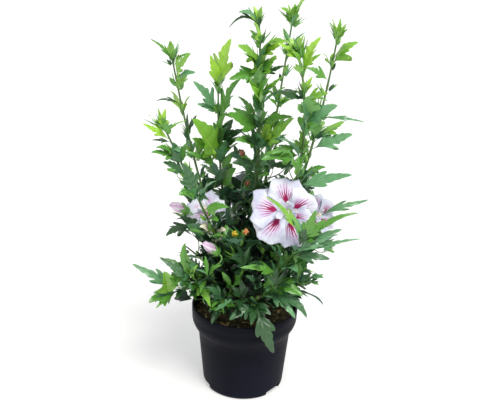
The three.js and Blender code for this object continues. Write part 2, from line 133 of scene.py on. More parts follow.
# Long leaves that are set one by one, most of them to carry the outline: share along the limb,
# where the tip ends, a tint and, where they differ from the plain form, shape, width and arch.
PLAIN_FORM = ("lobed", 1, 0.09)
LONG_LEAVES = {
    "leader": (
        (0.98, (-40, -20, 675), "dark", "lobed", 0.45, 0.42),
        (0.88, (56, -50, 660), "young", "lobed", 0.8),
        (0.9, (2, -20, 687), "tip", "lobed", 1.3, 0.02),
        (0.8, (21, -40, 648), "mid", "broad", 1.1),
        (0.72, (19, -50, 624), "young", "broad", 1.1),
        (0.66, (28, -50, 600), "mid", "broad", 1.1),
        (0.64, (0, -50, 587), "young", "broad", 1.1),
        (0.68, (54, -40, 604), "young", "lobed", 0.5, 0.1),
        (0.82, (-14, -44, 638), "young", "lobed", 0.5),
        (0.86, (34, -30, 651), "young", "broad", 1.1),
        (0.8, (42, -30, 631), "mid", "broad", 1.1),
        (0.78, (56, -10, 616), "dark", "lobed", 0.6),
        (0.6, (71, -62, 540), "mid", "lobed", 0.8),
        (0.5, (73, -60, 538), "young", "lobed", 1.15, 0.03),
        (0.58, (-37, -50, 541), "mid", "broad", 1, 0.03),
        (0.62, (-23, 24, 556), "mid", "broad", 0.5),
        (0.6, (-31, 10, 538), "mid", "broad", 0.7),
        (0.6, (-25, -36, 527), "mid", "broad", 1.1, 0.02),
        (0.53, (-25, -36, 492), "mid", "broad", 0.9, 0.12),
        (0.45, (-29, -30, 449), "dark", "broad"),
        (0.42, (36, -36, 431), "mid", "broad"),
        (0.4, (-4, -34, 418), "dark", "broad"),
        (0.4, (26, -40, 412), "dark", "broad"),
    ),
    "far_left": (
        (0.97, (-178, 40, 649), "mid", "lobed", 0.4, 0.17),
        (0.96, (-109, 40, 627), "mid", "lobed", 0.45, 0.15),
        (0.83, (-170, 40, 539), "dark", "lobed", 0.36, 0.2),
        (0.72, (-96, 36, 518), "dark", "toothed", 0.6),
        (0.71, (-113, 36, 521), "dark", "toothed", 0.5),
    ),
    "left": (
        (0.94, (-173, -96, 529), "tip", "lobed", 0.85, 0.03),
        (0.97, (-102, -90, 535), "young", "lobed", 0.3, 0.1),
        (0.97, (-148, -92, 556), "tip", "lobed", 0.5, 0.04),
        (0.88, (-152, -96, 490), "mid", "lobed", 0.9),
        (0.93, (-159, -90, 501), "dark", "lobed", 0.5, 0.06),
        (0.83, (-127, -84, 497), "cool", "broad", 1.1, 0.03),
        (0.84, (-102, -84, 496), "mid", "toothed", 1.1, 0.03),
        (0.79, (-142, -84, 463), "cool", "lobed", 0.9),
        (0.62, (-32, -84, 386), "mid", "broad", 0.9),
        (0.57, (-49, -84, 361), "mid", "broad"),
        (0.7, (-116, -84, 406), "mid", "broad", 1.7),
        (0.7, (-109, -84, 462), "cool", "broad", 0.9, 0.03),
        (0.7, (-66, -72, 394), "dark", "broad"),
        (0.52, (-36, -80, 376), "dark", "broad", 1.2),
        (0.5, (-82, -68, 343), "dry", "broad", 1.4),
        (0.48, (-36, -68, 339), "dry", "toothed", 1.6),
        (0.45, (-42, -70, 321), "dry", "broad", 1.1),
    ),
    "mid_left": (
        (0.99, (-38, 68, 651), "tip", "lobed", 1.25, 0.03),
        (0.99, (-75, 64, 621), "tip", "broad", 0.8, 0.03),
        (0.84, (-15, 50, 587), "mid", "lobed", 0.9, 0.06),
        (0.88, (-104, 50, 576), "grey", "lobed", 0.95, 0.04),
        (0.88, (-97, 50, 535), "grey", "broad", 0.8),
        (0.7, (-104, 30, 476), "young", "broad", 1, 0.04),
        (0.67, (-103, 22, 513), "young", "broad", 1.5, 0.02),
        (0.75, (-42, 50, 522), "mid", "broad", 0.9),
        (0.74, (-31, 46, 510), "dark", "broad", 0.9),
        (0.7, (-14, 34, 480), "mid", "broad", 0.9, 0.12),
        (0.62, (-26, 40, 452), "mid", "broad"),
        (0.6, (-29, 36, 424), "dark", "broad"),
        (0.62, (-116, 20, 453), "mid", "lobed", 0.7),
        (0.55, (-80, 24, 404), "dark", "broad"),
        (0.5, (-66, 16, 383), "dark", "broad"),
        (0.55, (-23, 14, 427), "mid", "broad", 1.2),
        (0.88, (-14, 60, 506), "young", "lobed", 0.4, 0.12),
    ),
    "back": (
        (0.97, (49, 80, 696), "young", "lobed", 0.6),
        (0.97, (87, 86, 714), "young", "toothed"),
        (0.98, (73, 84, 713), "young", "toothed"),
        (0.92, (54, 80, 670), "mid", "toothed", 1.1),
        (0.87, (93, 70, 665), "grey", "lobed", 0.6),
        (0.74, (73, 56, 548), "mid", "toothed", 0.9),
        (0.74, (29, 56, 548), "mid", "toothed", 0.9),
        (0.76, (54, 50, 556), "young", "toothed", 0.8),
    ),
    "mid_right": (
        (0.9, (106, -100, 675), "tip", "lobed", 0.8),
        (0.95, (39, -96, 662), "tip", "lobed", 0.8),
        (0.92, (108, -96, 648), "young", "lobed", 0.8),
        (0.54, (36, -72, 456), "dark", "lobed", 1, 0.08),
        (0.83, (31, -84, 578), "dark", "lobed", 0.5, 0.12),
        (0.8, (124, -90, 573), "mid", "lobed", 0.6, 0.16),
        (0.61, (22, -84, 480), "mid", "lobed", 0.6, 0.15),
        (0.45, (173, -84, 450), "grey", "broad", 0.85, 0.04),
    ),
    "right": (
        (0.98, (147, 20, 695), "young", "toothed", 0.9, 0.02),
        (0.98, (162, 20, 677), "young", "toothed", 1, 0.02),
        (0.91, (181, 20, 656), "young", "lobed", 1.35, 0.14),
        (0.86, (94, 20, 609), "mid"),
        (0.74, (202, 10, 519), "grey", "lobed", 0.24),
        (0.63, (182, 10, 497), "grey", "lobed", 0.9, 0.05),
    ),
    "low_left": (
        (0.82, (-208, -30, 252), "grey", "lobed", 0.72, 0.05),
        (0.98, (-146, -62, 254), "young", "broad", 1.3, 0.03),
        (0.95, (-174, -60, 189), "mid", "broad", 1.1, 0.05),
        (0.9, (-161, -62, 180), "mid", "lobed", 0.6, 0.03),
        (0.75, (-125, -60, 199), "dark", "broad", 0.9),
    ),
    "left_rise": (
        (0.96, (-107, -66, 312), "mid", "toothed", 1.1),
        (0.94, (-83, -92, 282), "young", "lobed", 0.8),
        (0.9, (-154, -60, 280), "cool", "lobed", 0.7, 0.12),
        (0.92, (-86, -80, 274), "young"),
        (0.9, (-60, -98, 204), "young", "lobed", 0.9, 0.14),
    ),
    "left_bloom": (
        (0.74, (-120, -34, 348), "dark", "broad", 1.1),
        (0.93, (-147, -20, 305), "dark", "lobed", 1, 0.14),
        (0.7, (-104, -70, 346), "cool", "broad", 1.2),
    ),
    "mid_left_low": (
        (0.75, (-46, -90, 280), "cool"),
    ),
    "front": (
        (0.95, (54, -122, 130), "dark", "broad", 0.95, 0.14),
        (0.8, (-25, -114, 188), "cool"),
        (0.9, (46, -112, 200), "cool", "toothed", 1.1),
    ),
    "front_left": (
        (0.95, (-56, -118, 214), "mid", "lobed", 0.8),
    ),
    "front_right": (
        (0.95, (182, -130, 400), "mid", "toothed", 0.5, 0.14),
        (0.95, (112, -128, 402), "mid", "broad", 0.8),
        (0.95, (128, -126, 386), "mid", "broad", 0.8),
        (0.93, (70, -132, 394), "grey", "toothed", 0.9),
        (0.9, (103, -124, 381), "dark", "toothed", 1.2),
        (0.8, (159, -110, 363), "grey", "lobed", 0.66, 0.16),
        (0.84, (193, -104, 344), "grey", "lobed", 0.36, 0.03),
        (0.93, (124, -112, 359), "dark", "broad", 1.1),
        (0.97, (28, -142, 427), "young", "lobed", 0.42),
        (0.8, (142, -112, 309), "cool", "lobed", 0.8, 0.12),
        (0.6, (-9, -125, 294), "mid", "lobed", 0.55, 0.12),
        (0.5, (101, -100, 231), "mid", "toothed", 1.2),
        (0.4, (89, -108, 192), "grey", "lobed", 0.9, 0.12),
        (0.45, (110, -104, 192), "cool", "lobed", 0.8, 0.12),
    ),
    "right_low": (
        (0.85, (134, -110, 273), "grey", "lobed", 0.9, 0.12),
    ),
    "right_mid": (
        (0.97, (211, -40, 393), "grey", "lobed", 0.38, 0.19),
    ),
}

# Leaves on the canes that show their faces to the front: share along the cane, how far the
# tip lies to the right of that place and above it, tint and shape. All of them also reach
# forward and rise by the same amounts.
FACE_FORWARD = 34
FACE_RISE = 5
FACE_LEAVES = {
    "far_left": (
        (0.92, 30, 44, "young", "lobed"),
        (0.92, 38, 12, "grey", "toothed"),
        (0.92, -14, 16, "grey", "toothed"),
        (0.99, 4, 20, "tip", "toothed"),
    ),
    "left": (
        (0.87, -40, 10, "mid", "lobed"),
        (0.99, 14, 10, "tip", "toothed"),
        (0.91, 14, -4, "grey", "broad"),
        (0.8, 22, 8, "cool", "broad"),
    ),
    "mid_left": (
        (0.72, 45, 45, "dark", "broad"),
        (0.72, 20, 50, "dark", "broad"),
        (0.74, -28, -18, "tip", "lobed"),
    ),
    "leader": (
        (0.99, -34, 12, "grey", "broad"),
        (0.85, 40, 28, "tip", "lobed"),
        (0.84, -38, 24, "young", "lobed"),
        (0.78, 26, 36, "young", "broad"),
        (0.79, -24, 32, "young", "broad"),
        (0.8, -52, -14, "mid", "lobed"),
        (0.75, 42, 18, "young", "lobed"),
        (0.72, 26, 16, "tip", "toothed"),
        (0.68, -20, 40, "young", "broad"),
        (0.6, -14, 54, "grey", "broad"),
        (0.66, 24, 34, "young", "broad"),
        (0.52, 32, 66, "tip", "broad"),
        (0.52, 62, 78, "young", "lobed"),
        (0.46, -42, 34, "mid", "lobed"),
    ),
    "back": (
        (0.9, -6, 34, "grey", "toothed"),
        (0.96, 10, 28, "mid", "toothed"),
        (0.99, -24, 16, "young", "toothed"),
        (0.99, 20, 32, "tip", "toothed"),
    ),
    "mid_right": (
        (0.8, 34, 12, "young", "lobed"),
        (0.8, -44, 12, "dark", "toothed"),
        (0.7, 48, 36, "grey", "broad"),
        (0.68, -10, 48, "grey", "broad"),
        (0.58, -68, -6, "mid", "lobed"),
        (0.91, -20, 32, "young", "lobed"),
        (0.46, 22, 38, "grey", "broad"),
    ),
    "right": (
        (0.93, 20, 20, "young", "lobed"),
    ),
}

# Openings where the sky shows between the leaves from the front: side and height at which the
# line of sight through the opening's middle meets the plane y = 0, and the opening's radius.
OPENINGS = (
    (-145, 634, 6), (-151, 624, 7), (147, 617, 7), (43, 606, 9), (-149, 598, 7), (56, 598, 6),
    (133, 586, 9), (-143, 575, 7), (-112, 572, 7), (-1, 549, 7), (29, 545, 7), (67, 543, 11),
    (-136, 540, 9), (79, 539, 7), (71, 518, 11), (82, 518, 7), (145, 513, 6), (-128, 501, 9),
    (81, 497, 6), (85, 486, 7), (-119, 483, 6), (-122, 480, 6), (-96, 475, 6), (-6, 471, 9),
    (-98, 470, 7), (111, 465, 6), (138, 455, 17), (119, 451, 11), (110, 450, 9), (107, 441, 7),
    (-96, 438, 6), (50, 437, 7), (61, 434, 9), (78, 427, 9), (-99, 422, 6), (-94, 414, 7),
    (-22, 413, 7), (-87, 411, 7), (-80, 411, 7), (-141, 409, 9), (-38, 408, 6), (-40, 407, 6),
    (141, 391, 9), (106, 295, 6), (-101, 294, 11), (99, 293, 6), (129, 290, 6), (-142, 283, 17),
    (-116, 278, 9), (140, 278, 6), (126, 275, 6), (183, 275, 11), (-161, 272, 13), (-94, 268, 9),
    (-105, 264, 7), (166, 254, 15), (118, 251, 6), (123, 249, 7), (126, 245, 9), (133, 245, 11),
    (154, 242, 9), (118, 241, 7), (143, 241, 9), (139, 239, 7), (-127, 224, 6), (-124, 224, 7),
    (148, 217, 6), (162, 205, 18), (124, 203, 6), (107, 201, 6), (130, 195, 9), (-128, 185, 7),
    (142, 185, 11), (-111, 183, 6), (-131, 182, 9), (-101, 154, 11), (-105, 152, 7),
)
FRONT_EYE = Vector((4, -1200, 785))
CAMERA = dict(lens=50.4, sensor=36, pitch=71, roll=1.7)

# Flowers and buds: the limb, kind, centre, the way it faces, and its radius or a bud's length.
FLOWERS = (
    ("right_bloom", "open", (66, -92, 384), (-0.06, -0.95, 0.3), 58),
    ("right_mid", "open", (125, -54, 367), (0.4, -0.8, 0.35), 36),
    ("left_bloom", "pale", (-76, -12, 356), (-0.25, -0.6, 0.72), 38),
    ("left_bloom", "lilac", (-122, -16, 358), (-0.9, -0.1, 0.4), 32),
    ("mid_front", "yellow", (-20, -90, 341), (-0.3, -0.8, 0.5), 15),
    ("mid_front", "peach", (-2, -90, 345), (0.3, -0.8, 0.5), 15),
    ("mid_left_low", "lilac", (-61, -78, 308), (-0.78, -0.1, 0.62), 30),
    ("back_mid", "open", (-8, 158, 338), (-0.1, 0.95, 0.28), 44),
    ("back_right", "open", (106, 134, 338), (0.6, 0.75, 0.28), 38),
    ("back_left", "lilac", (-90, 118, 324), (-0.6, 0.5, 0.6), 30),
    ("leader", "rust", (-12, -16, 463), (-0.2, -0.5, 0.8), 15),
    ("leader", "rust", (-2, -27, 412), (0.2, -0.6, 0.75), 14),
)
BLOOMS = ("open", "pale")
PETALS = 5
BEST_PETALS = ((-22, 0.74), (96, 0.97), (30, 0.88), (172, 1.05), (-68, 1.02), (228, 1.06))
INNER_PETALS = (200, 70, -30)
INNER = dict(size=0.36, cup=0.25, width=0.7)
PALE_START = 0.4  # how far up a petal's pattern a pale flower's petal starts
PETAL_THICKNESS = 0.5
PETAL_GRID = 18
THROAT = 0.42
FUNNEL = 0.3
STAMENS = dict(girth=2.2, length=0.46, count=46, turn=137.5076)
CUP = dict(radius=7, height=12)
SEPAL_RINGS = (
    dict(count=5, turn=0, lean=0.35, out=0.8, back=1, length=1.6, width=4.2),
    dict(count=7, turn=274.3316, lean=0.85, out=0.55, back=8, length=1.5, width=1.1),
)
STALK_RADII = (1.4, 1.7)

# Room that leaves keep from the pot, and from flowers and buds: behind and aside as shares of
# a flower's size, before it in millimetres.
POT_ROOM = dict(soil=4, rim=6, above_rim=3)
OPEN_ROOM = dict(behind=0.5, before=46, aside=0.97)
BUD_ROOM = dict(behind=0.2, before=14, aside=0.44)

# The start of each use's random streams and the step to the next limb's or flower's, and the
# degrees by which each limb's spirals start further round than those of the limb before.
SEEDS = {
    "leaves": (5, 977), "tufts": (0, 101), "tip": (97, 101), "bracts": (11, 613), "buttons": (7, 1301),
    "sprigs": (3, 389), "backing": (5003, 19), "petals": (4001, 17), "flower_parts": (7001, 13),
    "chips": (90210, 0),
}
TURNS = dict(tufts=47, buttons=31, sprigs=71)

# Outlines of half a leaf: margin share, half width, and where its row meets the rib.
LOBED_OUTLINE = (
    (0, 0.009, 0), (0.13, 0.012, 0.13), (0.25, 0.085, 0.19), (0.36, 0.165, 0.24),
    (0.45, 0.235, 0.27), (0.53, 0.285, 0.3), (0.6, 0.285, 0.33), (0.61, 0.235, 0.36),
    (0.545, 0.15, 0.4), (0.53, 0.105, 0.44), (0.62, 0.15, 0.53), (0.68, 0.145, 0.59),
    (0.7, 0.11, 0.65), (0.79, 0.115, 0.72), (0.84, 0.08, 0.8), (0.94, 0.055, 0.9), (1, 0, 1),
)
BROAD_OUTLINE = (
    (0, 0.009, 0), (0.15, 0.012, 0.15), (0.28, 0.125, 0.2), (0.38, 0.215, 0.24),
    (0.48, 0.285, 0.28), (0.565, 0.3, 0.32), (0.6, 0.25, 0.36), (0.565, 0.165, 0.43),
    (0.64, 0.18, 0.51), (0.7, 0.155, 0.58), (0.72, 0.125, 0.65), (0.8, 0.128, 0.72),
    (0.85, 0.09, 0.8), (0.94, 0.062, 0.9), (1, 0, 1),
)
TOOTHED_OUTLINE = (
    (0, 0.01, 0), (0.14, 0.013, 0.14), (0.33, 0.12, 0.25), (0.44, 0.12, 0.35),
    (0.56, 0.175, 0.43), (0.62, 0.135, 0.53), (0.74, 0.125, 0.64), (0.8, 0.09, 0.75),
    (0.92, 0.06, 0.88), (1, 0, 1),
)
NEEDLE_OUTLINE = ((0, 0.035, 0), (0.4, 0.07, 0.4), (1, 0, 1))
VEIN_SHARE = 0.16  # how far a vein's band reaches towards the rows beside a tooth
QUILT = 0.022  # how far a blade swells between two veins, as a share of the leaf's length

# ---- Colours, as screen values from 0 to 255 --------------------------------------------

LEAF_LAYERS = ("blade", "rib", "underside")
# Blade, rib and underside of each tint. The darker tints are partly painted shade inside and low in the
# crown, the brighter ones partly painted light on the outer tips; the rest is the leaves' age.
LEAF_TINTS = {
    "tip": ((160, 210, 66), (190, 226, 112), (150, 200, 98)),
    "young": ((128, 186, 60), (166, 208, 104), (122, 176, 98)),
    "mid": ((88, 150, 50), (128, 178, 88), (102, 160, 106)),
    # grey and cool: partly a waxy grey-green, partly a painted sheen of the white sky
    "grey": ((104, 160, 108), (140, 186, 140), (120, 166, 130)),
    "cool": ((66, 112, 68), (96, 138, 96), (88, 130, 102)),
    "dark": ((42, 82, 40), (68, 108, 62), (66, 108, 78)),
    "deep": ((24, 46, 24), (46, 74, 42), (42, 70, 48)),
    "dry": ((248, 238, 212), (252, 244, 224), (238, 226, 198)),
}
TINT_LEVELS = (("tip", 0.98), ("young", 0.68), ("mid", 0.36), ("dark", 0.14))  # least brightness
# The fold's darker colour is painted shade in the recessed grooves of a furled bud.
BUD_COLOURS = {  # the face of a furled petal, and the fold beside it
    "lilac": ((240, 220, 240), (224, 176, 218)),
    "yellow": ((214, 190, 50), (150, 110, 30)),
    "peach": ((214, 142, 84), (150, 84, 52)),
    "rust": ((152, 92, 66), (104, 54, 40)),
}
CHIP_LOOKS = {  # colour and roughness
    "ochre": ((166, 138, 66), 0.8),
    "tan": ((190, 168, 112), 0.8),
    "brown": ((96, 76, 42), 0.85),
    "dark": ((52, 44, 28), 0.9),
    "moss": ((126, 124, 52), 0.85),
}
CHIP_KINDS = list(CHIP_LOOKS)

# ---- Finishes ---------------------------------------------------------------------------


def shade(red, green, blue):
    """A colour given in screen values, as the renderer's linear ones."""
    parts = (part / 255 for part in (red, green, blue))
    linear = [((part + 0.055) / 1.055) ** 2.4 if part > 0.04 else part / 12.92 for part in parts]
    return (*linear, 1)


class Value:
    """A socket of a node tree; arithmetic on it adds the tree's Math nodes."""

    def __init__(self, nodes, socket):
        self.nodes = nodes
        self.socket = socket

    def math(self, operation, *others):
        return self.nodes.node("Math", {"operation": operation}, dict(enumerate((self, *others))))

    def __add__(self, other):
        return self.math("ADD", other)

    def __sub__(self, other):
        return self.math("SUBTRACT", other)

    def __mul__(self, other):
        return self.math("MULTIPLY", other)

    __radd__ = __add__
    __rmul__ = __mul__


class Nodes:
    """A node tree that is written as expressions."""

    def __init__(self, tree):
        self.tree = tree

    def node(self, kind, settings=None, sockets=None, out=0):
        """Adds a node: its settings are set first, then its sockets get values or links."""
        made = self.tree.nodes.new("ShaderNode" + kind)
        for name, value in (settings or {}).items():
            setattr(made, name, value)
        for name, value in (sockets or {}).items():
            if isinstance(value, Value):
                self.tree.links.new(value.socket, made.inputs[name])
            else:
                made.inputs[name].default_value = value
        return Value(self, made.outputs[out])

    def parts(self, vector):
        """The three numbers of a vector."""
        first = self.node("SeparateXYZ", None, {"Vector": vector})
        return [Value(self, output) for output in first.socket.node.outputs]

    def mixed(self, share, first, second):
        """A colour between two, by a share from 0 to 1."""
        return self.node("Mix", {"data_type": "RGBA"}, {0: share, 6: first, 7: second}, out=2)

    def between(self, value, low, high, ends="SMOOTHSTEP"):
        """How far a value is from low to high, from 0 to 1."""
        return self.node("MapRange", {"interpolation_type": ends},
                         {"Value": value, "From Min": low, "From Max": high})


class Finish(Nodes):
    """The node material of one kind of surface."""

    def __init__(self, name, colour, constants=None):
        self.material = bpy.data.materials.new(name)
        self.material.use_nodes = True
        super().__init__(self.material.node_tree)
        self.shader = self.tree.nodes["Principled BSDF"]
        for socket, value in {"Base Color": colour, **(constants or {})}.items():
            self.shader.inputs[socket].default_value = value

    def grain(self, scale, detail=3.0, stretch=(1, 1, 1)):
        """A soft random pattern from 0 to 1; scale is in repeats to the metre."""
        spot = self.node("TexCoord", out="Object")
        place = self.node("Mapping", None, {"Vector": spot, "Scale": stretch})
        return self.node("TexNoise", None,
                         {"Vector": place, "Scale": scale, "Detail": detail, "Roughness": 0.55})

    def drive(self, socket, value):
        """Gives one of the shader's sockets a value that varies over the surface."""
        self.tree.links.new(value.socket, self.shader.inputs[socket])

    def relief(self, height, depth, strength=1.0):
        """Bumps of a depth in metres where height goes from 0 to 1."""
        bump = self.node("Bump", None, {"Height": height, "Distance": depth, "Strength": strength})
        self.drive("Normal", bump)


def leaf_finish(name, colour, roughness, gloss=0.5, wax=0.0):
    """Leaf tissue: its colour is plain, its gloss and its blistered surface are not."""
    constants = {"Specular IOR Level": gloss, "Coat Weight": wax, "Coat Roughness": 0.28}
    finish = Finish(name, shade(*colour), constants)
    finish.drive("Roughness", roughness + 0.25 * finish.grain(140, 2) - 0.12)
    finish.relief(finish.grain(420), 0.0012, 0.5)
    return finish.material


def tint_finishes():
    """The finishes of all leaves: three for each tint, of which the blade is waxy."""
    made = []
    for tint, colours in LEAF_TINTS.items():
        for layer, colour in zip(LEAF_LAYERS, colours):
            looks = (0.4, 0.5, 0.5) if layer == "blade" else (0.6, 0.4)
            made.append(leaf_finish(f"leaf_{tint}_{layer}", colour, *looks))
    return made


def finish_of(tint, layer="blade"):
    """The place of one layer of a tint among the leaves' finishes."""
    return len(LEAF_LAYERS) * list(LEAF_TINTS).index(tint) + LEAF_LAYERS.index(layer)


def twig_finish():
    """Green bark of a young twig, grained along it."""
    finish = Finish("green_twig", shade(84, 116, 54), {"Roughness": 0.55})
    finish.relief(finish.grain(700, stretch=(1, 1, 0.2)), 0.0004, 0.5)
    return finish.material


def bark_finish():
    """Grey-green bark with darker fissures."""
    finish = Finish("grey_green_bark", shade(104, 98, 66), {"Roughness": 0.85})
    fissures = finish.grain(500, 4, (1, 1, 0.25))
    ridges = finish.between(fissures, 0.35, 0.65)
    finish.drive("Base Color", finish.mixed(ridges, shade(62, 54, 38), shade(112, 104, 74)))
    finish.relief(fissures, 0.0012, 0.9)
    return finish.material


def petal_finish():
    """White-lilac petals: rosy streaks fan out of a crimson flame at each petal's foot."""
    finish = Finish("petal_white", shade(236, 233, 246), {"Specular IOR Level": 0.3})
    aside, along, _ = finish.parts(finish.node("TexCoord", out="UV"))
    off_middle = (aside * 2 - 1).math("ABSOLUTE")
    fray = finish.grain(180) - 0.5
    veins = ((aside + 0.03 * fray) * 82).math("COSINE")
    streaks = finish.between(veins, -0.2, 0.8)

    wedge = off_middle - 2.6 * along
    flame_edge = off_middle * 0.5 + along - 0.18 * streaks + 0.06 * fray
    flame = finish.between(wedge, -0.42, -0.6) * finish.between(flame_edge, 0.58, 0.46)
    fan = finish.between(off_middle, 0.74, 0.42) * finish.between(wedge, -0.42, -0.7)
    fading = finish.between(along + 0.35 * fray + 0.3 * off_middle, 0.98, 0.5)

    clouds = finish.between(finish.grain(40, 2), 0.35, 0.65)
    colour = finish.mixed(clouds, shade(204, 206, 228), shade(235, 237, 246))
    colour = finish.mixed(fan * fading * 0.35, colour, shade(214, 128, 208))
    colour = finish.mixed(streaks * fading * fan * 0.95, colour, shade(170, 34, 146))
    finish.drive("Base Color", finish.mixed(flame * 0.98, colour, shade(160, 4, 78)))
    finish.drive("Roughness", 0.45 + 0.2 * finish.grain(300, 2))
    finish.relief(veins * 0.5 + 0.5, 0.0005, 0.45)
    return finish.material


def bud_finishes():
    """The finishes of the furled buds: the face and the darker fold, painted shade, of each kind."""
    return [
        leaf_finish(f"bud_{kind}_{part}", colour, 0.5)
        for kind, colours in BUD_COLOURS.items()
        for part, colour in zip(("face", "fold"), colours)
    ]


def pot_finish():
    """Black plastic under patches of dust, with a blue cast that is a painted sheen."""
    finish = Finish("dusty_black_plastic", shade(14, 15, 25), {"Specular IOR Level": 0.08})
    dust_and_sheen = finish.grain(6, 2) * 0.7 + finish.grain(220) * 0.3
    dust_and_sheen_share = finish.between(dust_and_sheen, 0.35, 0.7)
    # Both colours carry a blue cast, a painted bluish sheen; the paler patches are dust and painted sheen.
    finish.drive("Base Color", finish.mixed(dust_and_sheen_share, shade(9, 10, 18), shade(19, 21, 35)))
    finish.drive("Roughness", 0.42 + 0.3 * dust_and_sheen)
    finish.relief(finish.grain(900), 0.0002, 0.35)
    return finish.material


def soil_finish():
    """Dark compost with paler crumbs."""
    finish = Finish("peaty_soil", shade(38, 30, 20), {"Roughness": 0.95})
    crumbs = finish.grain(240, 5)
    pale = finish.between(crumbs, 0.35, 0.7)
    finish.drive("Base Color", finish.mixed(pale, shade(34, 29, 16), shade(104, 88, 52)))
    finish.relief(crumbs, 0.003)
    return finish.material


def floor_finish():
    """White paper, lit a little from within so that it stays even."""
    finish = Finish("floor_paper", (0.6, 0.6, 0.6, 1), {
        "Roughness": 0.9,
        "Emission Color": (1, 1, 1, 1),
        "Emission Strength": 0.42,
    })
    finish.relief(finish.grain(900, 2), 0.0001, 0.1)
    return finish.material


LEAF_FINISHES = tint_finishes()

# ---- Shapes -----------------------------------------------------------------------------


class Shape:
    """A small closed shape as arrays, ready to be set down many times."""

    def __init__(self, mesh, on_edge=lambda vertex: False):
        bmesh.ops.recalc_face_normals(mesh, faces=mesh.faces)
        mesh.verts.ensure_lookup_table()
        mesh.verts.index_update()
        self.points = np.array([vertex.co[:] for vertex in mesh.verts])
        self.corners = np.array([vertex.index for face in mesh.faces for vertex in face.verts])
        self.sizes = np.array([len(face.verts) for face in mesh.faces])
        self.finishes = np.array([face.material_index for face in mesh.faces])
        self.on_edge = np.array([on_edge(vertex) for vertex in mesh.verts])
        mesh.free()


class Gathering:
    """Shapes of one kind, collected into one piece."""

    def __init__(self):
        self.points, self.corners, self.sizes, self.finishes, self.on_edge = [], [], [], [], []
        self.count = 0

    def add(self, shape, points, first_finish=0):
        """Sets a shape down once for each row of points, an array of copies by vertices by 3."""
        copies, each = points.shape[:2]
        starts = self.count + np.arange(copies)[:, None] * each
        first = np.broadcast_to(np.asarray(first_finish), (copies,))[:, None]
        self.points.append(points.reshape(-1, 3))
        self.corners.append((shape.corners + starts).ravel())
        self.sizes.append(np.tile(shape.sizes, copies))
        self.finishes.append((shape.finishes + first).ravel())
        self.on_edge.append(np.tile(shape.on_edge, copies))
        self.count += copies * each

    def piece(self, name, finishes, slot, nodes):
        """Joins the shapes into one mesh, which stays sharp along their edges."""
        mesh = bpy.data.meshes.new(name)
        points = np.concatenate(self.points) * MM
        corners = np.concatenate(self.corners)
        sizes = np.concatenate(self.sizes)
        starts = np.cumsum(sizes) - sizes
        mesh.vertices.add(self.count)
        mesh.vertices.foreach_set("co", points.astype(np.float32).ravel())
        mesh.loops.add(len(corners))
        mesh.loops.foreach_set("vertex_index", corners.astype(np.int32))
        mesh.polygons.add(len(sizes))
        mesh.polygons.foreach_set("loop_start", starts.astype(np.int32))
        mesh.polygons.foreach_set("material_index", np.concatenate(self.finishes).astype(np.int32))
        mesh.update(calc_edges=True)
        mesh.validate()
        on_edge = np.concatenate(self.on_edge)
        if on_edge.any():
            ends = np.empty(len(mesh.edges) * 2, np.int32)
            mesh.edges.foreach_get("vertices", ends)
            mesh.edges.foreach_set("use_edge_sharp", on_edge[ends].reshape(-1, 2).all(axis=1))
        return set_piece(name, mesh, finishes, nodes)


def mesh_of(shape, name):
    """Turns a shape that was worked on into a mesh."""
    mesh = bpy.data.meshes.new(name)
    shape.to_mesh(mesh)
    shape.free()
    return mesh


def set_piece(name, mesh, finishes, nodes):
    """Makes a finished mesh a piece of the plant that stands for its nodes."""
    mesh.shade_smooth()
    for finish in finishes:
        mesh.materials.append(finish)
    made = bpy.data.objects.new(name, mesh)
    bpy.context.scene.collection.objects.link(made)
    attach(made, "root")
    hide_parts(*nodes)
    return made


def rounded(outline, steps=2):
    """A smooth curve through the points of an outline, for a leaf that is seen close up."""
    marks = [Vector(mark) for mark in (outline[0], *outline, outline[-1])]
    smooth = []
    for before, start, end, after in zip(marks, marks[1:], marks[2:], marks[3:]):
        slope = end - before
        bend = 2 * before - 5 * start + 4 * end - after
        swing = 3 * start - before - 3 * end + after
        for share in (i / steps for i in range(steps)):
            smooth.append(start + 0.5 * share * (slope + share * (bend + share * swing)))
    return [(margin, max(half, 0), rib) for margin, half, rib in smooth] + [outline[-1]]


def veined(outline):
    """Parts an outline's row at each tooth in two, with a narrow band between them for a vein."""
    rows, veins = [outline[0]], []
    for before, row, after in zip(outline, outline[1:], outline[2:]):
        if before[1] <= row[1] > after[1]:
            veins.append(len(rows))
            for beside in (before, after):
                pairs = zip(row, beside)
                rows.append(tuple((1 - VEIN_SHARE) * own + VEIN_SHARE * other for own, other in pairs))
        else:
            rows.append(row)
    return rows + [outline[-1]], veins


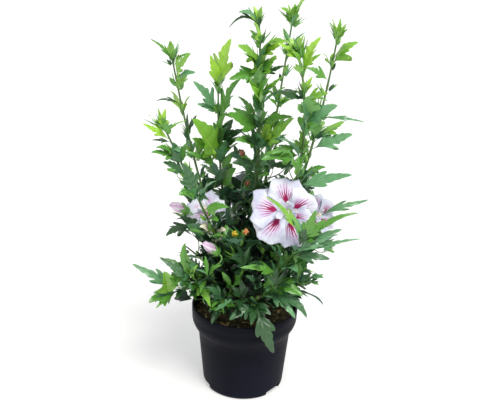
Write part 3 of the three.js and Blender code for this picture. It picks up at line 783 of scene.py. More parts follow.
def leaf_shape(outline, rib_width, thickness, columns=1, quilt=0.0, veins=()):
    """A thin closed leaf along +X: blades, rib and veins on top, one layer underneath."""
    bands = len(outline) - 1
    strips = 2 * columns + 1
    valleys = [0, *veins, bands]
    leaf = bmesh.new()
    for is_top in (True, False):
        grid = bmesh.ops.create_grid(leaf, x_segments=bands, y_segments=strips, size=0.5)["verts"]
        for face in {face for vertex in grid for face in vertex.link_faces}:
            middle = face.calc_center_median()
            on_rib = abs(middle.y) < 0.4 / strips
            on_vein = int((middle.x + 0.5) * bands) in veins
            layer = "underside" if not is_top else "rib" if on_rib or on_vein else "blade"
            face.material_index = LEAF_LAYERS.index(layer)
            if not is_top:
                face.normal_flip()
        for vertex in grid:
            row = round((vertex.co.x + 0.5) * bands)
            column = round((vertex.co.y + 0.5) * strips)
            margin, half, rib = outline[row]
            side = 1 if column > columns else -1
            out = (column - columns - 1 if side > 0 else columns - column) / columns
            strip = min(rib_width * (1 - 0.7 * rib), half * 0.6) if is_top else 0
            depth = 0 if is_top else -thickness * (1 - 0.6 * rib)
            start = max(valley for valley in valleys if valley <= row)
            end = min((valley for valley in valleys if valley > row), default=row + 1)
            swell = quilt * 4 * out * (1 - out) * math.sin(math.pi * (row - start) / (end - start))
            vertex.co = (
                rib + (margin - rib) * out,
                side * (strip + (half - strip) * out),
                depth * (1 - out) + swell,
            )
    bmesh.ops.remove_doubles(leaf, verts=leaf.verts, dist=1e-5)
    bmesh.ops.dissolve_degenerate(leaf, edges=leaf.edges, dist=1e-6)
    margins = {(round(margin, 4), round(half, 4)) for margin, half, _ in outline}
    return Shape(leaf, lambda vertex: (round(vertex.co.x, 4), round(abs(vertex.co.y), 4)) in margins)


def fine_leaf(outline, rib_width, thickness):
    """A leaf for close looks: a smooth margin, a vein to each tooth and blades that swell between."""
    rows, veins = veined(rounded(outline))
    return leaf_shape(rows, rib_width, thickness, columns=2, quilt=QUILT, veins=veins)


def rod_shape(sides, rings):
    """A closed round rod of radius 1 from z = 0 to 1, in rings."""
    rod = bmesh.new()
    bmesh.ops.create_circle(rod, cap_ends=True, segments=sides, radius=1)
    edges = list(rod.edges)
    for _ in range(rings):
        grown = bmesh.ops.extrude_edge_only(rod, edges=edges)["geom"]
        verts = [part for part in grown if isinstance(part, bmesh.types.BMVert)]
        edges = [part for part in grown if isinstance(part, bmesh.types.BMEdge)]
        bmesh.ops.translate(rod, verts=verts, vec=(0, 0, 1 / rings))
    bmesh.ops.holes_fill(rod, edges=edges)
    return Shape(rod)


def spun(profile, sides):
    """A profile of radius and height turned about the upright axis into a closed shape."""
    shape = bmesh.new()
    marks = [shape.verts.new((radius * MM, 0, height * MM)) for radius, height in profile]
    edges = [shape.edges.new(pair) for pair in zip(marks, marks[1:])]
    bmesh.ops.spin(shape, geom=marks + edges, cent=(0, 0, 0), axis=UPWARD, angle=FULL_TURN,
                   steps=sides, use_merge=True)
    bmesh.ops.remove_doubles(shape, verts=shape.verts, dist=1e-6)
    bmesh.ops.recalc_face_normals(shape, faces=shape.faces)
    return shape


def turned_shape(profile, sides, fold=0.0, folds=4, winding=5):
    """A shape turned about +Z from radius and height, with folds that wind round it."""
    shape = spun([(radius / MM, height / MM) for radius, height in profile], sides)

    def swing_at(point):
        return math.cos(folds * math.atan2(point.y, point.x) + winding * point.z)

    for vertex in shape.verts:
        swing = swing_at(vertex.co) + 0.8 * noise.noise(vertex.co * 1.9)
        vertex.co.x *= 1 + fold * swing
        vertex.co.y *= 1 + fold * swing
        vertex.co.z += 0.9 * fold * noise.noise(vertex.co * 2.3) * max(vertex.co.z, 0)
    # Faces in the recessed grooves take the second, darker finish: painted shade in the folds.
    for face in shape.faces:
        face.material_index = int(fold > 0 and swing_at(face.calc_center_median()) < -0.35)
    return Shape(shape)


def grain_shape():
    """A small round grain of pollen."""
    grain = bmesh.new()
    bmesh.ops.create_icosphere(grain, subdivisions=1, radius=1)
    return Shape(grain)


def flake_shape():
    """A flake of bark of size 1, with broken edges."""
    flake = bmesh.new()
    bmesh.ops.create_cube(flake, size=1)
    bmesh.ops.bevel(flake, geom=flake.edges[:], offset=0.16, offset_type="OFFSET", affect="EDGES",
                    segments=1, profile=0.5, material=-1)
    return Shape(flake)


LEAF_FORMS = {  # outline, width of the rib and thickness
    "lobed": (LOBED_OUTLINE, 0.009, 0.012),
    "broad": (BROAD_OUTLINE, 0.01, 0.012),
    "toothed": (TOOTHED_OUTLINE, 0.012, 0.014),
}
LEAVES = {
    **{form: leaf_shape(*sizes) for form, sizes in LEAF_FORMS.items()},
    **{"fine_" + form: fine_leaf(*sizes) for form, sizes in LEAF_FORMS.items()},
    "needle": leaf_shape(NEEDLE_OUTLINE, 0.02, 0.04),
}
LIMB_ROD = rod_shape(8, 36)
SPRIG_ROD = rod_shape(5, 6)
BOUGH_ROD = rod_shape(16, 60)
FURLED_BUD = turned_shape((
    (0, -0.5), (0.45, -0.46), (0.7, -0.3), (0.86, -0.1), (0.98, 0.1), (0.94, 0.26), (0.74, 0.38),
    (0.6, 0.5), (0.42, 0.58), (0.2, 0.5), (0, 0.44),
), 40, fold=0.17)
CALYX_CUP = turned_shape(((0, 0), (0.3, 0.03), (0.75, 0.3), (1, 0.75), (0.97, 1), (0.85, 1), (0, 0.8)), 15)
STAMEN_COLUMN = turned_shape(((0, 0), (1.25, 0), (0.9, 0.3), (0.75, 1), (0, 1.02)), 10)
CLOSED_BUTTON = turned_shape(((0, 0), (0.6, 0.05), (1, 0.4), (0.85, 0.72), (0.3, 1.02), (0, 1.08)), 7)
POLLEN_GRAIN = grain_shape()
BARK_FLAKE = flake_shape()

# ---- Growth -----------------------------------------------------------------------------


def draws_for(use, number=0, part=0):
    """A stream of random numbers from 0 to 1, always the same one for the same use."""
    start, step = SEEDS[use]
    modulus = 2**31 - 1
    state = (start + step * number + part) * 48271 % modulus

    def draw():
        nonlocal state
        state = state * 16807 % modulus
        return state / modulus

    return draw


def turned(first, second, angle):
    """The direction at an angle in degrees from one direction towards another square to it."""
    turn = math.radians(angle)
    return first * math.cos(turn) + second * math.sin(turn)


def square_to(along):
    """Two directions square to a shoot: one across it, and one that completes the set."""
    across = along.cross(REARWARD).normalized()
    return across, across.cross(along).normalized()


def facing_frame(facing):
    """The directions right, up and towards the viewer of something that faces a way."""
    ahead = Vector(facing).normalized()
    right = UPWARD.cross(ahead).normalized()
    return right, ahead.cross(right), ahead


class Shoot:
    """A curve from a foot over a knee to a tip, with a radius at each end."""

    def __init__(self, foot, knee, tip, radius, tip_radius=TWIG_TIP):
        self.foot, self.knee, self.tip = Vector(foot), Vector(knee), Vector(tip)
        self.radius, self.tip_radius = radius, tip_radius
        marks = [self.point(i / 40) for i in range(41)]
        self.length = sum((after - before).length for before, after in zip(marks, marks[1:]))

    def point(self, share):
        rest = 1 - share
        return self.foot * rest * rest + self.knee * 2 * rest * share + self.tip * share * share

    def tangent(self, share):
        rise = (self.knee - self.foot) * (1 - share) + (self.tip - self.knee) * share
        return rise.normalized()

    def radius_at(self, share):
        return self.radius + (self.tip_radius - self.radius) * share

    def side(self, share, turn):
        """The direction square to the shoot at a share of it, turned about it by an angle."""
        return turned(*square_to(self.tangent(share)), turn)


class Limb(Shoot):
    """A cane or low shoot of the crown, with what its habit says of the growth on it."""

    def __init__(self, name, kind, number, sizes):
        sizes = {**PLAIN_LIMB, **sizes}
        bearing = math.radians(sizes["bearing"])
        foot = (sizes["ring"] * math.cos(bearing), sizes["ring"] * math.sin(bearing), sizes["foot"])
        super().__init__(foot, sizes["knee"], sizes["tip"], sizes["radius"])
        self.name, self.kind, self.number = name, kind, number
        self.bare, self.light = sizes["bare"], sizes["light"]
        self.habit = HABITS[kind]
        self.tufts = max(3, round(self.length * (1 - self.bare) / self.habit["spacing"]))

    def leafy(self, share):
        """The share of the whole limb at which a share of its leafy part ends."""
        return self.bare + (1 - self.bare) * share

    def tint_at(self, point, share, chance, light=0.0):
        """Tints run from bright at the growing tips to deep inside the crown.

        Beside the leaves' age, the darker tints are painted shade and the brighter ones painted light.
        """
        height = (point.z - CROWN["foot"]) / CROWN["span"]
        outside = min(math.hypot(point.x, point.y) / CROWN["reach"], 1.2)
        parts = zip(self.habit["brightness"], (share, height, outside))
        light += sum(weight * part for weight, part in parts)
        light += 0.46 * (chance - 0.5)
        for tint, least in TINT_LEVELS:
            if light > least:
                return tint
        return "deep"


class Leaf:
    """One leaf: its shape, tint and frame, and how it bends."""

    def __init__(self, shape, tint, base, heading, top, length, arch, draw):
        self.shape, self.tint = shape, tint
        self.base, self.heading, self.top = base, heading, top
        self.length, self.arch = length, arch
        self.fold = 0.2 + 0.5 * draw()
        self.curl = 0.4 + 2.2 * draw()
        self.twist = 1.3 * (draw() - 0.5)
        self.wave = 0.03 + 0.07 * draw()
        self.phase = FULL_TURN * draw()
        self.width = (0.78 + 0.3 * draw()) * (1 - 0.3 * min(max(length - 60, 0) / 50, 1))


def leaf_on(shoot, at, shape, tint, draw, to=None, turn=0.0, spread=0.0, lift=0.0, length=0.0,
            roll=0.0, arch=0.05):
    """A leaf set on a shoot, either towards a point or turned and opened from it."""
    along = shoot.tangent(at)
    if to:
        reach = Vector(to) - shoot.point(at)
        length = reach.length
        heading = reach.normalized()
        outward = (heading - along * heading.dot(along)).normalized()
        top = UPWARD * 0.8 - REARWARD - outward * 0.4
    else:
        outward = shoot.side(at, turn)
        heading = (turned(along, outward, spread) + UPWARD * lift).normalized()
        top = UPWARD - outward
    top = (top - heading * top.dot(heading)).normalized()
    top = Quaternion(heading, math.radians(roll)) @ top
    base = shoot.point(at) + outward * shoot.radius_at(at) * (1 - ROOT_DEPTH)
    return Leaf(shape, tint, base, heading, top, length, arch, draw)


def greyed(tint, draw):
    """Now and then a leaf is grey-green: partly a waxy tone, partly a painted sheen of the white sky."""
    if tint in ("mid", "young"):
        return "grey" if draw() < 0.16 else tint
    return "cool" if tint == "dark" and draw() < 0.4 else tint


def long_leaves(limb, own):
    """The long leaves of a limb, one for each row of its list."""
    grown = []
    for at, to, tint, *form in LONG_LEAVES.get(limb.name, ()):
        shape, width, arch = (*form, *PLAIN_FORM[len(form):])
        leaf = leaf_on(limb, at, "fine_" + shape, tint, own, to=to, arch=arch)
        leaf.width *= width
        grown.append(leaf)
    return grown


def face_leaves(limb, own):
    """The leaves of a limb that show their faces to the front."""
    grown = []
    for at, aside, above, tint, shape in FACE_LEAVES.get(limb.name, ()):
        to = limb.point(at) + Vector((aside, -FACE_FORWARD, above + FACE_RISE))
        grown.append(leaf_on(limb, at, "fine_" + shape, tint, own, to=to, arch=0.02 + 0.08 * own()))
    return grown


def tuft_leaves(limb, own):
    """Tufts by the golden angle: a few large leaves first, then finer ones between them."""
    grown = []
    for tuft in range(limb.tufts):
        draw = draws_for("tufts", limb.number, tuft)
        share = (tuft + 0.55) / limb.tufts
        fullness = 0.82 + 0.8 * share - 1.1 * share**2
        place = limb.leafy(share)
        tint = limb.tint_at(limb.point(place), share, own(), limb.light)
        fine = limb.habit["fine_leaves"][: 2 if share > 0.55 else None]
        members = [(turn, size, draw) for turn, size in limb.habit["leaves"]]
        members += [(turn, size, own) for turn, size in fine]
        for order, (turn, size, source) in enumerate(members):
            step = TUFT_STEP if order < 3 else 0.4 * TUFT_STEP
            grown.append(leaf_on(
                limb,
                place + order * step / limb.length,
                "toothed" if size < 0.6 else "broad" if own() < 0.75 - 0.75 * share else "lobed",
                greyed(tint, own),
                own,
                turn=limb.number * TURNS["tufts"] + tuft * GOLDEN_ANGLE + turn + 30 * (source() - 0.5),
                spread=62 - 26 * share + 16 * (source() - 0.5),
                lift=0.3 * source(),
                length=limb.habit["leaf_length"] * fullness * size * (0.86 + 0.3 * source()),
                roll=50 * (source() - 0.5),
                arch=0.02 + 0.09 * source(),
            ))
    return grown


def tip_leaves(limb, own):
    """The half-grown leaves at a limb's tip, and the smallest ones between them."""
    draw = draws_for("tip", limb.number)
    tint = limb.tint_at(limb.tip, 1.05, 0.5, limb.light)
    count, small = limb.habit["tip_leaves"], TIP_LEAVES["small"]
    grown = [
        leaf_on(
            limb, 0.985, "toothed", tint, own,
            turn=360 * i / count + 40 * draw(),
            spread=TIP_LEAVES["open"] + 14 * draw(),
            length=TIP_LEAVES["length"] * (0.8 + 0.4 * draw()),
        )
        for i in range(count)
    ]
    grown += [
        leaf_on(
            limb, 0.99, "toothed", tint, own,
            turn=360 * i / small + 60 + 50 * own(),
            spread=14 + 30 * own(),
            length=14 + 14 * own(),
            arch=0.03,
        )
        for i in range(small)
    ]
    return grown


def bracts_on(limb):
    """Narrow young bracts that stand up from the tufts of a limb's upper part."""
    grown = []
    own = draws_for("bracts", limb.number)
    for tuft in range(limb.tufts // 3, limb.tufts):
        place = limb.leafy((tuft + 0.6) / limb.tufts)
        for i in range(BRACTS["count"]):
            grown.append(leaf_on(
                limb,
                min(place + 0.012 * own(), 0.99),
                "needle",
                "young" if own() > 0.5 else "dark",
                own,
                turn=limb.number * TURNS["tufts"] + tuft * GOLDEN_ANGLE + 90 * i + 60 * own(),
                spread=BRACTS["open"] + 22 * own(),
                length=BRACTS["length"] * (0.6 + 0.8 * own()),
                arch=0.02,
            ))
    return grown


def bracts_round(foot, heading, size, tint, own):
    """The bracts that stand round a small closed bud."""
    right, up, _ = facing_frame(heading)
    grown = []
    for i in range(BUTTONS["bracts"]):
        outward = turned(right, up, 360 * (i + 0.4 * own()) / BUTTONS["bracts"])
        lean = (heading + outward * (0.15 + 0.35 * own())).normalized()
        top = (lean * outward.dot(lean) - outward).normalized()
        shown = "young" if own() > 0.6 else tint
        length = BUTTONS["reach"] * size * (0.6 + 0.6 * own())
        grown.append(Leaf("needle", shown, foot + outward * 2.4 * size, lean, top, length, 0.05, own))
    return grown


def buttons_on(limb):
    """Small closed buds beside a limb's tufts: foot, heading, size and tint; and their bracts."""
    own = draws_for("buttons", limb.number)
    found, bracts = [], []
    for tuft in range(limb.tufts // 4, limb.tufts):
        for i in range(limb.habit["buttons"]):
            place = limb.leafy((tuft + 0.62 + 0.2 * i) / limb.tufts)
            turn = limb.number * TURNS["buttons"] + tuft * GOLDEN_ANGLE + 180 * i + 50 * own()
            outward = limb.side(place, turn)
            heading = (limb.tangent(place) + outward * (0.3 + 0.5 * own())).normalized()
            size = 0.75 + 0.5 * own()
            foot = limb.point(place) + outward * (limb.radius_at(place) + 2.5 * size)
            tint = ("young", "mid", "dark")[int(3 * own())]
            found.append((foot, heading, size, tint))
            bracts += bracts_round(foot, heading, size, tint, own)
    return found, bracts


def sprig_leaves(sprig, first_turn, tint, own):
    """The leaves along one side twig."""
    return [
        leaf_on(
            sprig,
            at,
            "toothed" if size < 35 else "broad" if own() < 0.5 else "lobed",
            tint,
            own,
            turn=first_turn + order * GOLDEN_ANGLE + 40 * own(),
            spread=58 - 26 * at + 20 * own(),
            lift=0.35 * own(),
            length=size * (0.8 + 0.45 * own()),
            roll=50 * (own() - 0.5),
            arch=0.02 + 0.08 * own(),
        )
        for order, (at, size) in enumerate(SPRIG_LEAVES)
    ]


def sprigs_on(limb):
    """Short side twigs that fill the crown's inside, each with its leaves."""
    own = draws_for("sprigs", limb.number)
    plan = limb.habit["sprigs"]
    found = []
    for i in range(plan["count"]):
        place = plan["start"] + (plan["end"] - plan["start"]) * (i + 0.7 * own()) / plan["count"]
        turn = limb.number * TURNS["sprigs"] + i * GOLDEN_ANGLE
        foot, along, outward = limb.point(place), limb.tangent(place), limb.side(place, turn)
        reach = plan["length"] * (0.65 + 0.7 * own())
        knee = foot + (outward + along * 0.25).normalized() * reach * 0.55
        tip = foot + (outward + along * 0.6 + UPWARD * 0.3).normalized() * reach
        if tip.z < SOIL["top"] + 12:
            continue
        thickest, thinnest = SPRIG_RADII
        sprig = Shoot(foot, knee, tip, min(thickest, limb.radius_at(place) * 0.6), thinnest)
        tint = limb.tint_at(tip, place * 0.7, own() * 0.8)
        found.append((sprig, sprig_leaves(sprig, turn, tint, own)))
    return found


def bent(shape, leaves):
    """The vertices of each leaf: folded along its rib, arched, waved and twisted."""

    def each(name):
        return np.array([getattr(leaf, name) for leaf in leaves])[:, None]

    along, across, depth = shape.points.T
    side = across * each("width")
    outer = np.abs(side)
    rise = depth + each("fold") * outer - each("curl") * outer**2
    rise = rise + each("wave") * outer / 0.3 * np.sin(9 * along + each("phase"))
    rise = rise + 4 * each("arch") * along * (1 - along) * (0.6 + 0.8 * along)
    twist = each("twist") * (along - 0.2)
    sideways = side * np.cos(twist) - rise * np.sin(twist)
    upwards = side * np.sin(twist) + rise * np.cos(twist)
    length, heading, top = each("length"), each("heading"), each("top")
    return (
        each("base")
        + heading * (along * length)[..., None]
        + np.cross(top, heading) * (sideways * length)[..., None]
        + top * (upwards * length)[..., None]
    )


def on_shoot(rod, shoot, start=0.0, end=1.0, uneven=0.0, knots=0.0):
    """The vertices of a rod laid along a shoot from one share of it to another."""
    rings = {}
    placed = []
    for x, y, z in rod.points:
        key = round(z, 5)
        if key not in rings:
            share = start + (end - start) * z
            radius = shoot.radius_at(share)
            radius *= 1 + knots * max(0, math.cos(z * shoot.length * (end - start) * KNOT_WAVE)) ** 8
            rings[key] = (shoot.point(share), radius, *square_to(shoot.tangent(share)))
        centre, radius, across, other = rings[key]
        if uneven:
            rough = Vector((x * 3, y * 3, centre.z * 0.035 + centre.x * 0.05))
            radius *= 1 + uneven * noise.noise(rough * 1.7) + 0.4 * uneven * noise.noise(rough * 6)
        placed.append(centre + across * x * radius + other * y * radius)
    return np.array(placed)[None]


def facing_points(shape, at, facing, width, height, shift=0.0):
    """The vertices of a shape turned from +Z to a facing and set down at a point."""
    right, up, ahead = (np.array(direction) for direction in facing_frame(facing))
    x, y, z = shape.points.T
    spread = np.outer(x * width, right) + np.outer(y * width, up) + np.outer(z * height + shift, ahead)
    return (np.array(at) + spread)[None]


limbs = {}
for kind, plans in (("tall", TALL_CANES), ("low", LOW_SHOOTS)):
    for name, sizes in plans.items():
        limbs[name] = Limb(name, kind, len(limbs) + 1, sizes)


class Flower:
    """A flower or bud on its limb: the frame it faces by, and its size."""

    def __init__(self, number, owner, kind, at, facing, size):
        self.number, self.kind, self.size = number, kind, size
        self.limb = limbs[owner]
        self.at = Vector(at)
        self.right, self.up, self.ahead = facing_frame(facing)
        self.is_open = kind in BLOOMS

    def is_crossed_by(self, point):
        """Whether a point lies in the flower or close before its face."""
        offset = point - self.at
        before = offset.dot(self.ahead)
        aside = (offset - self.ahead * before).length
        room = OPEN_ROOM if self.is_open else BUD_ROOM
        is_level = -room["behind"] * self.size < before < room["before"]
        return is_level and aside < room["aside"] * self.size


flowers = [Flower(number, *row) for number, row in enumerate(FLOWERS)]
blooms = [flower for flower in flowers if flower.is_open]
bloom_nodes = sorted({f"foliage_{flower.limb.name}" for flower in flowers})
tall_nodes = [f"foliage_{name}" for name in TALL_CANES]
low_nodes = [f"foliage_{name}" for name in LOW_SHOOTS]

# ---- Camera, light and floor ------------------------------------------------------------

scene = bpy.context.scene


def add_to_scene(name, content):
    """Links an object that isn't a piece of the plant to the scene."""
    made = bpy.data.objects.new(name, content)
    scene.collection.objects.link(made)
    return made


def set_camera():
    """Looks at the plant from the front and a little from above."""
    scene.view_settings.view_transform = "Standard"
    eye = bpy.data.cameras.new("camera")
    eye.lens = CAMERA["lens"]
    eye.sensor_width = CAMERA["sensor"]
    scene.camera = add_to_scene("camera", eye)
    scene.camera.matrix_world = (
        Matrix.Translation(FRONT_EYE * MM)
        @ Matrix.Rotation(math.radians(CAMERA["pitch"]), 4, "X")
        @ Matrix.Rotation(math.radians(CAMERA["roll"]), 4, "Z")
    )


def set_sky():
    """A studio that is white all round and soft grey overhead."""
    scene.world = bpy.data.worlds.new("studio")
    scene.world.use_nodes = True
    nodes = Nodes(scene.world.node_tree)
    _, _, height = nodes.parts(nodes.node("TexCoord", out="Generated"))
    colour = nodes.mixed(nodes.between(height, 0.16, 0.42, "LINEAR"), (1, 1, 1, 1), (0.22, 0.225, 0.23, 1))
    nodes.tree.links.new(colour.socket, nodes.tree.nodes["Background"].inputs["Color"])


def soft_light(name, aim, spread, strength, colour=(1, 1, 1)):
    """Even light from far away that shines along aim and is spread over an angle."""
    light = bpy.data.lights.new(name, "SUN")
    light.angle = math.radians(spread)
    light.energy = strength
    light.color = colour
    add_to_scene(name, light).rotation_euler = Vector(aim).to_track_quat("-Z", "Y").to_euler()


def set_floor():
    """A wide sheet of paper under the pot."""
    sheet = bmesh.new()
    bmesh.ops.create_grid(sheet, x_segments=8, y_segments=8, size=40)
    mesh = mesh_of(sheet, "floor")
    mesh.materials.append(floor_finish())
    floor = add_to_scene("floor", mesh)


set_camera()
set_sky()
soft_light("key", (-0.3, 0.55, -1), 26, 2.45, (1, 0.99, 0.95))
soft_light("ceiling", (0, -0.05, -1), 130, 0.85)
set_floor()

# ---- Leaves -----------------------------------------------------------------------------


def in_an_opening(point):
    """Whether a point hides the sky in one of the openings when it is seen from the front."""
    sight = point - FRONT_EYE
    crossing = FRONT_EYE - sight * (FRONT_EYE.y / sight.y)
    return any(
        math.hypot(crossing.x - side, crossing.z - height) < radius
        for side, height, radius in OPENINGS
    )


def in_the_pot(point):
    """Whether a point lies in the soil or too near the pot's rim."""
    near_rim = math.hypot(point.x, point.y) > POT["rim_radius"] - POT_ROOM["rim"]
    above_soil, above_rim = point.z - SOIL["top"], point.z - POT["height"]
    return above_soil < POT_ROOM["soil"] or (above_rim < POT_ROOM["above_rim"] and near_rim)


def in_the_way(leaf):
    """Whether a leaf would cross a flower, stand before its face or an opening, or sink into the pot."""
    for share in (0.35, 0.6, 0.85, 1.0):
        point = leaf.base + leaf.heading * leaf.length * share
        if in_an_opening(point) or in_the_pot(point):
            return True
        if any(flower.is_crossed_by(point) for flower in flowers):
            return True
    return False


def clear(leaves):
    """The leaves that aren't in the way."""
    return [leaf for leaf in leaves if not in_the_way(leaf)]


def leaves_of(limb):
    """All leaves of a limb but those of its sprigs and buttons; the long ones always stay."""
    own = draws_for("leaves", limb.number)
    fixed = long_leaves(limb, own)
    grown = face_leaves(limb, own) + tuft_leaves(limb, own) + tip_leaves(limb, own)
    return fixed + clear(grown + bracts_on(limb))


def backing_leaves(flower):
    """A ring of leaves behind an open flower, in the dark and deep tints as painted shade."""
    own = draws_for("backing", flower.number)
    ahead = flower.ahead
    behind = flower.at - ahead * (THROAT * flower.size + 4)
    reach = flower.size * BACKING["reach"] * (1.25 if ahead.y > 0 else 1)
    grown = []
    for i in range(BACKING["count"]):
        outward = turned(flower.right, flower.up, 360 * (i + 0.5 * own()) / BACKING["count"])
        heading = (outward + ahead * (0.1 + 0.15 * own())).normalized()
        top = (ahead - heading * ahead.dot(heading)).normalized()
        # only the dark and deep tints: painted shade behind the flower
        tint = "dark" if own() < 0.6 else "deep"
        length = reach * (0.85 + 0.2 * own())
        leaf = Leaf("broad", tint, behind + outward * 3, heading, top, length, 0.03, own)
        leaf.width = BACKING["width"]
        grown.append(leaf)
    return grown


def leaf_piece(name, leaves, nodes):
    """Joins leaves into one piece, each with the three finishes of its tint."""
    gathering = Gathering()
    for form, shape in LEAVES.items():
        same = [leaf for leaf in leaves if leaf.shape == form]
        if same:
            gathering.add(shape, bent(shape, same), [finish_of(leaf.tint) for leaf in same])
    return gathering.piece(name, LEAF_FINISHES, "foliage", nodes)


crown = {"tall": [], "low": []}
sprigs = {"tall": [], "low": []}
buttons = []
for limb in limbs.values():
    crown[limb.kind] += leaves_of(limb)
    for sprig, leaves in sprigs_on(limb):
        kept = clear(leaves)
        if len(kept) > 2:
            sprigs[limb.kind].append(sprig)
            crown[limb.kind] += kept
    found, bracts = buttons_on(limb)
    buttons += found
    crown[limb.kind] += clear(bracts)
for flower in blooms:
    crown[flower.limb.kind] += backing_leaves(flower)
leaf_piece("cane_leaves", crown["tall"], tall_nodes)
leaf_piece("low_leaves", crown["low"], low_nodes)

# ---- Twigs, boughs and main stem --------------------------------------------------------

green_twig = twig_finish()
grey_bark = bark_finish()


def twig_piece(name, kind, nodes):
    """The leafy parts of the limbs of one kind, and the sprigs on them."""
    gathering = Gathering()
    for limb in limbs.values():
        if limb.kind == kind:
            gathering.add(LIMB_ROD, on_shoot(LIMB_ROD, limb, start=limb.bare, knots=0.25))
    for sprig in sprigs[kind]:
        gathering.add(SPRIG_ROD, on_shoot(SPRIG_ROD, sprig))
    return gathering.piece(name, [green_twig], "bark", nodes)


def bough_piece():
    """The bare feet of the tall canes."""
    gathering = Gathering()
    for name in TALL_CANES:
        limb = limbs[name]
        gathering.add(BOUGH_ROD, on_shoot(BOUGH_ROD, limb, end=limb.bare, uneven=0.16))
    return gathering.piece("bough_bark", [grey_bark], "bark", [f"bough_{name}" for name in TALL_CANES])


def stem_piece():
    """The short main stem: toes at its foot, and a rib towards each outer cane at its fork."""
    stem = spun(STEM_PROFILE, STEM["sides"])
    bmesh.ops.subdivide_edges(stem, edges=stem.edges, cuts=1, use_grid_fill=True)
    for vertex in stem.verts:
        if math.hypot(vertex.co.x, vertex.co.y) > 4 * MM:
            angle = math.atan2(vertex.co.y, vertex.co.x)
            rise = (vertex.co.z / MM - STEM["foot"]) / (STEM["top"] - STEM["foot"])
            rise = min(max(rise, 0), 1)
            ribs = math.cos(6 * angle - math.radians(30))
            toes = math.cos(5 * angle + 1.3) + 0.6 * math.cos(3 * angle + 0.4)
            rough = Vector((math.cos(angle) * 3, math.sin(angle) * 3, vertex.co.z * 60))
            scale = 1 + STEM["ribs"] * ribs * rise + STEM["toes"] * toes * (1 - rise) ** 2
            scale += STEM["bumps"] * noise.noise(rough)
            vertex.co.x *= scale
            vertex.co.y *= scale
    mesh = mesh_of(stem, "main_stem_bark")
    return set_piece("main_stem_bark", mesh, [grey_bark], ["main_stem"])


twig_piece("cane_twigs", "tall", tall_nodes)
twig_piece("low_twigs", "low", low_nodes)
bough_piece()
stem_piece()

# ---- Flowers ----------------------------------------------------------------------------


def add_petal(mesh, uv, flower, radius, turn, draw, inner=False):
    """One petal: a fan that rises out of the throat and ruffles towards its edge."""
    right, up, ahead = flower.right * radius, flower.up * radius, flower.ahead * radius
    phase, second, lean = FULL_TURN * draw(), FULL_TURN * draw(), 0.1 * (draw() - 0.35)
    wide = math.degrees(0.78 + 0.1 * draw())
    size, cup = 1, 0
    if inner:
        wide, size, cup = wide * INNER["width"], INNER["size"], INNER["cup"]
    foot = PALE_START if flower.kind == "pale" else 0
    grid = bmesh.ops.create_grid(mesh, x_segments=PETAL_GRID, y_segments=PETAL_GRID, size=0.5)["verts"]
    places = {}
    for vertex in grid:
        s, along = vertex.co.x * 2, vertex.co.y + 0.5
        pattern = 0.1 + 0.08 * along if inner else foot + (1 - foot) * along
        places[vertex] = (vertex.co.x + 0.5, pattern)
        ruffle = 0.04 * math.sin(5 * s + phase) + 0.03 * math.sin(13 * s + second)
        edge = (1 - 0.26 * abs(s) ** 3) * (1 + ruffle)
        edge += 0.07 * (1 - abs(math.sin(3.4 * s + second))) ** 2
        out = 0.06 + 0.94 * along * (edge if along > 0.3 else 1 + (edge - 1) * along / 0.3)
        depth = -FUNNEL * max(0, 1 - out) ** 2.4 + 0.1 * s * along + lean * along + cup * along**1.5
        depth += 0.075 * along**2 * math.sin(5 * s + phase) + 0.012 * along * math.cos(s * 38)
        depth += 0.045 * along**4 * math.sin(13 * s + phase)
        depth -= 0.08 * along**5
        spread = out * size * (1 - 0.5 * cup * along)
        angle = turn + s * wide * (0.72 + 0.28 * along)
        vertex.co = (flower.at + turned(right, up, angle) * spread + ahead * depth) * MM
    for face in {face for vertex in grid for face in vertex.link_faces}:
        for loop in face.loops:
            loop[uv].uv = places[loop.vert]


def petal_piece():
    """The petals of all open flowers: the largest has six listed ones, the others five by rule."""
    petals = bmesh.new()
    uv = petals.loops.layers.uv.new("petal")
    for flower in blooms:
        draw = draws_for("petals", flower.number)
        outer = [(90 + 72 * i + 14 * (draw() - 0.5), 0.93 + 0.08 * draw()) for i in range(PETALS)]
        if flower.number == 0:
            outer = BEST_PETALS
        for turn, share in outer:
            add_petal(petals, uv, flower, flower.size * share, turn, draw)
        for turn in INNER_PETALS[: 3 if flower.size > 50 else 2]:
            add_petal(petals, uv, flower, flower.size, turn, draw, inner=True)
    mesh = mesh_of(petals, "blossom_petals")
    made = set_piece("blossom_petals", mesh, [petal_finish()], bloom_nodes)
    solid = made.modifiers.new("thickness", "SOLIDIFY")
    solid.thickness = PETAL_THICKNESS * MM
    solid.offset = 0
    return made


def add_stamens(columns, flower, draw):
    """The column in an open flower's throat, with pollen grains round its upper part."""
    foot = -THROAT * flower.size + 3
    length = STAMENS["length"] * flower.size
    points = facing_points(STAMEN_COLUMN, flower.at, flower.ahead, STAMENS["girth"], length, foot)
    columns.add(STAMEN_COLUMN, points)
    for i in range(STAMENS["count"]):
        share = 0.35 + 0.65 * i / (STAMENS["count"] - 1)
        arm = turned(flower.right, flower.up, i * STAMENS["turn"]) * (2.6 + 1.6 * draw())
        place = flower.at + arm + flower.ahead * (foot + length * share)
        columns.add(POLLEN_GRAIN, facing_points(POLLEN_GRAIN, place, flower.ahead, 0.75, 0.6))


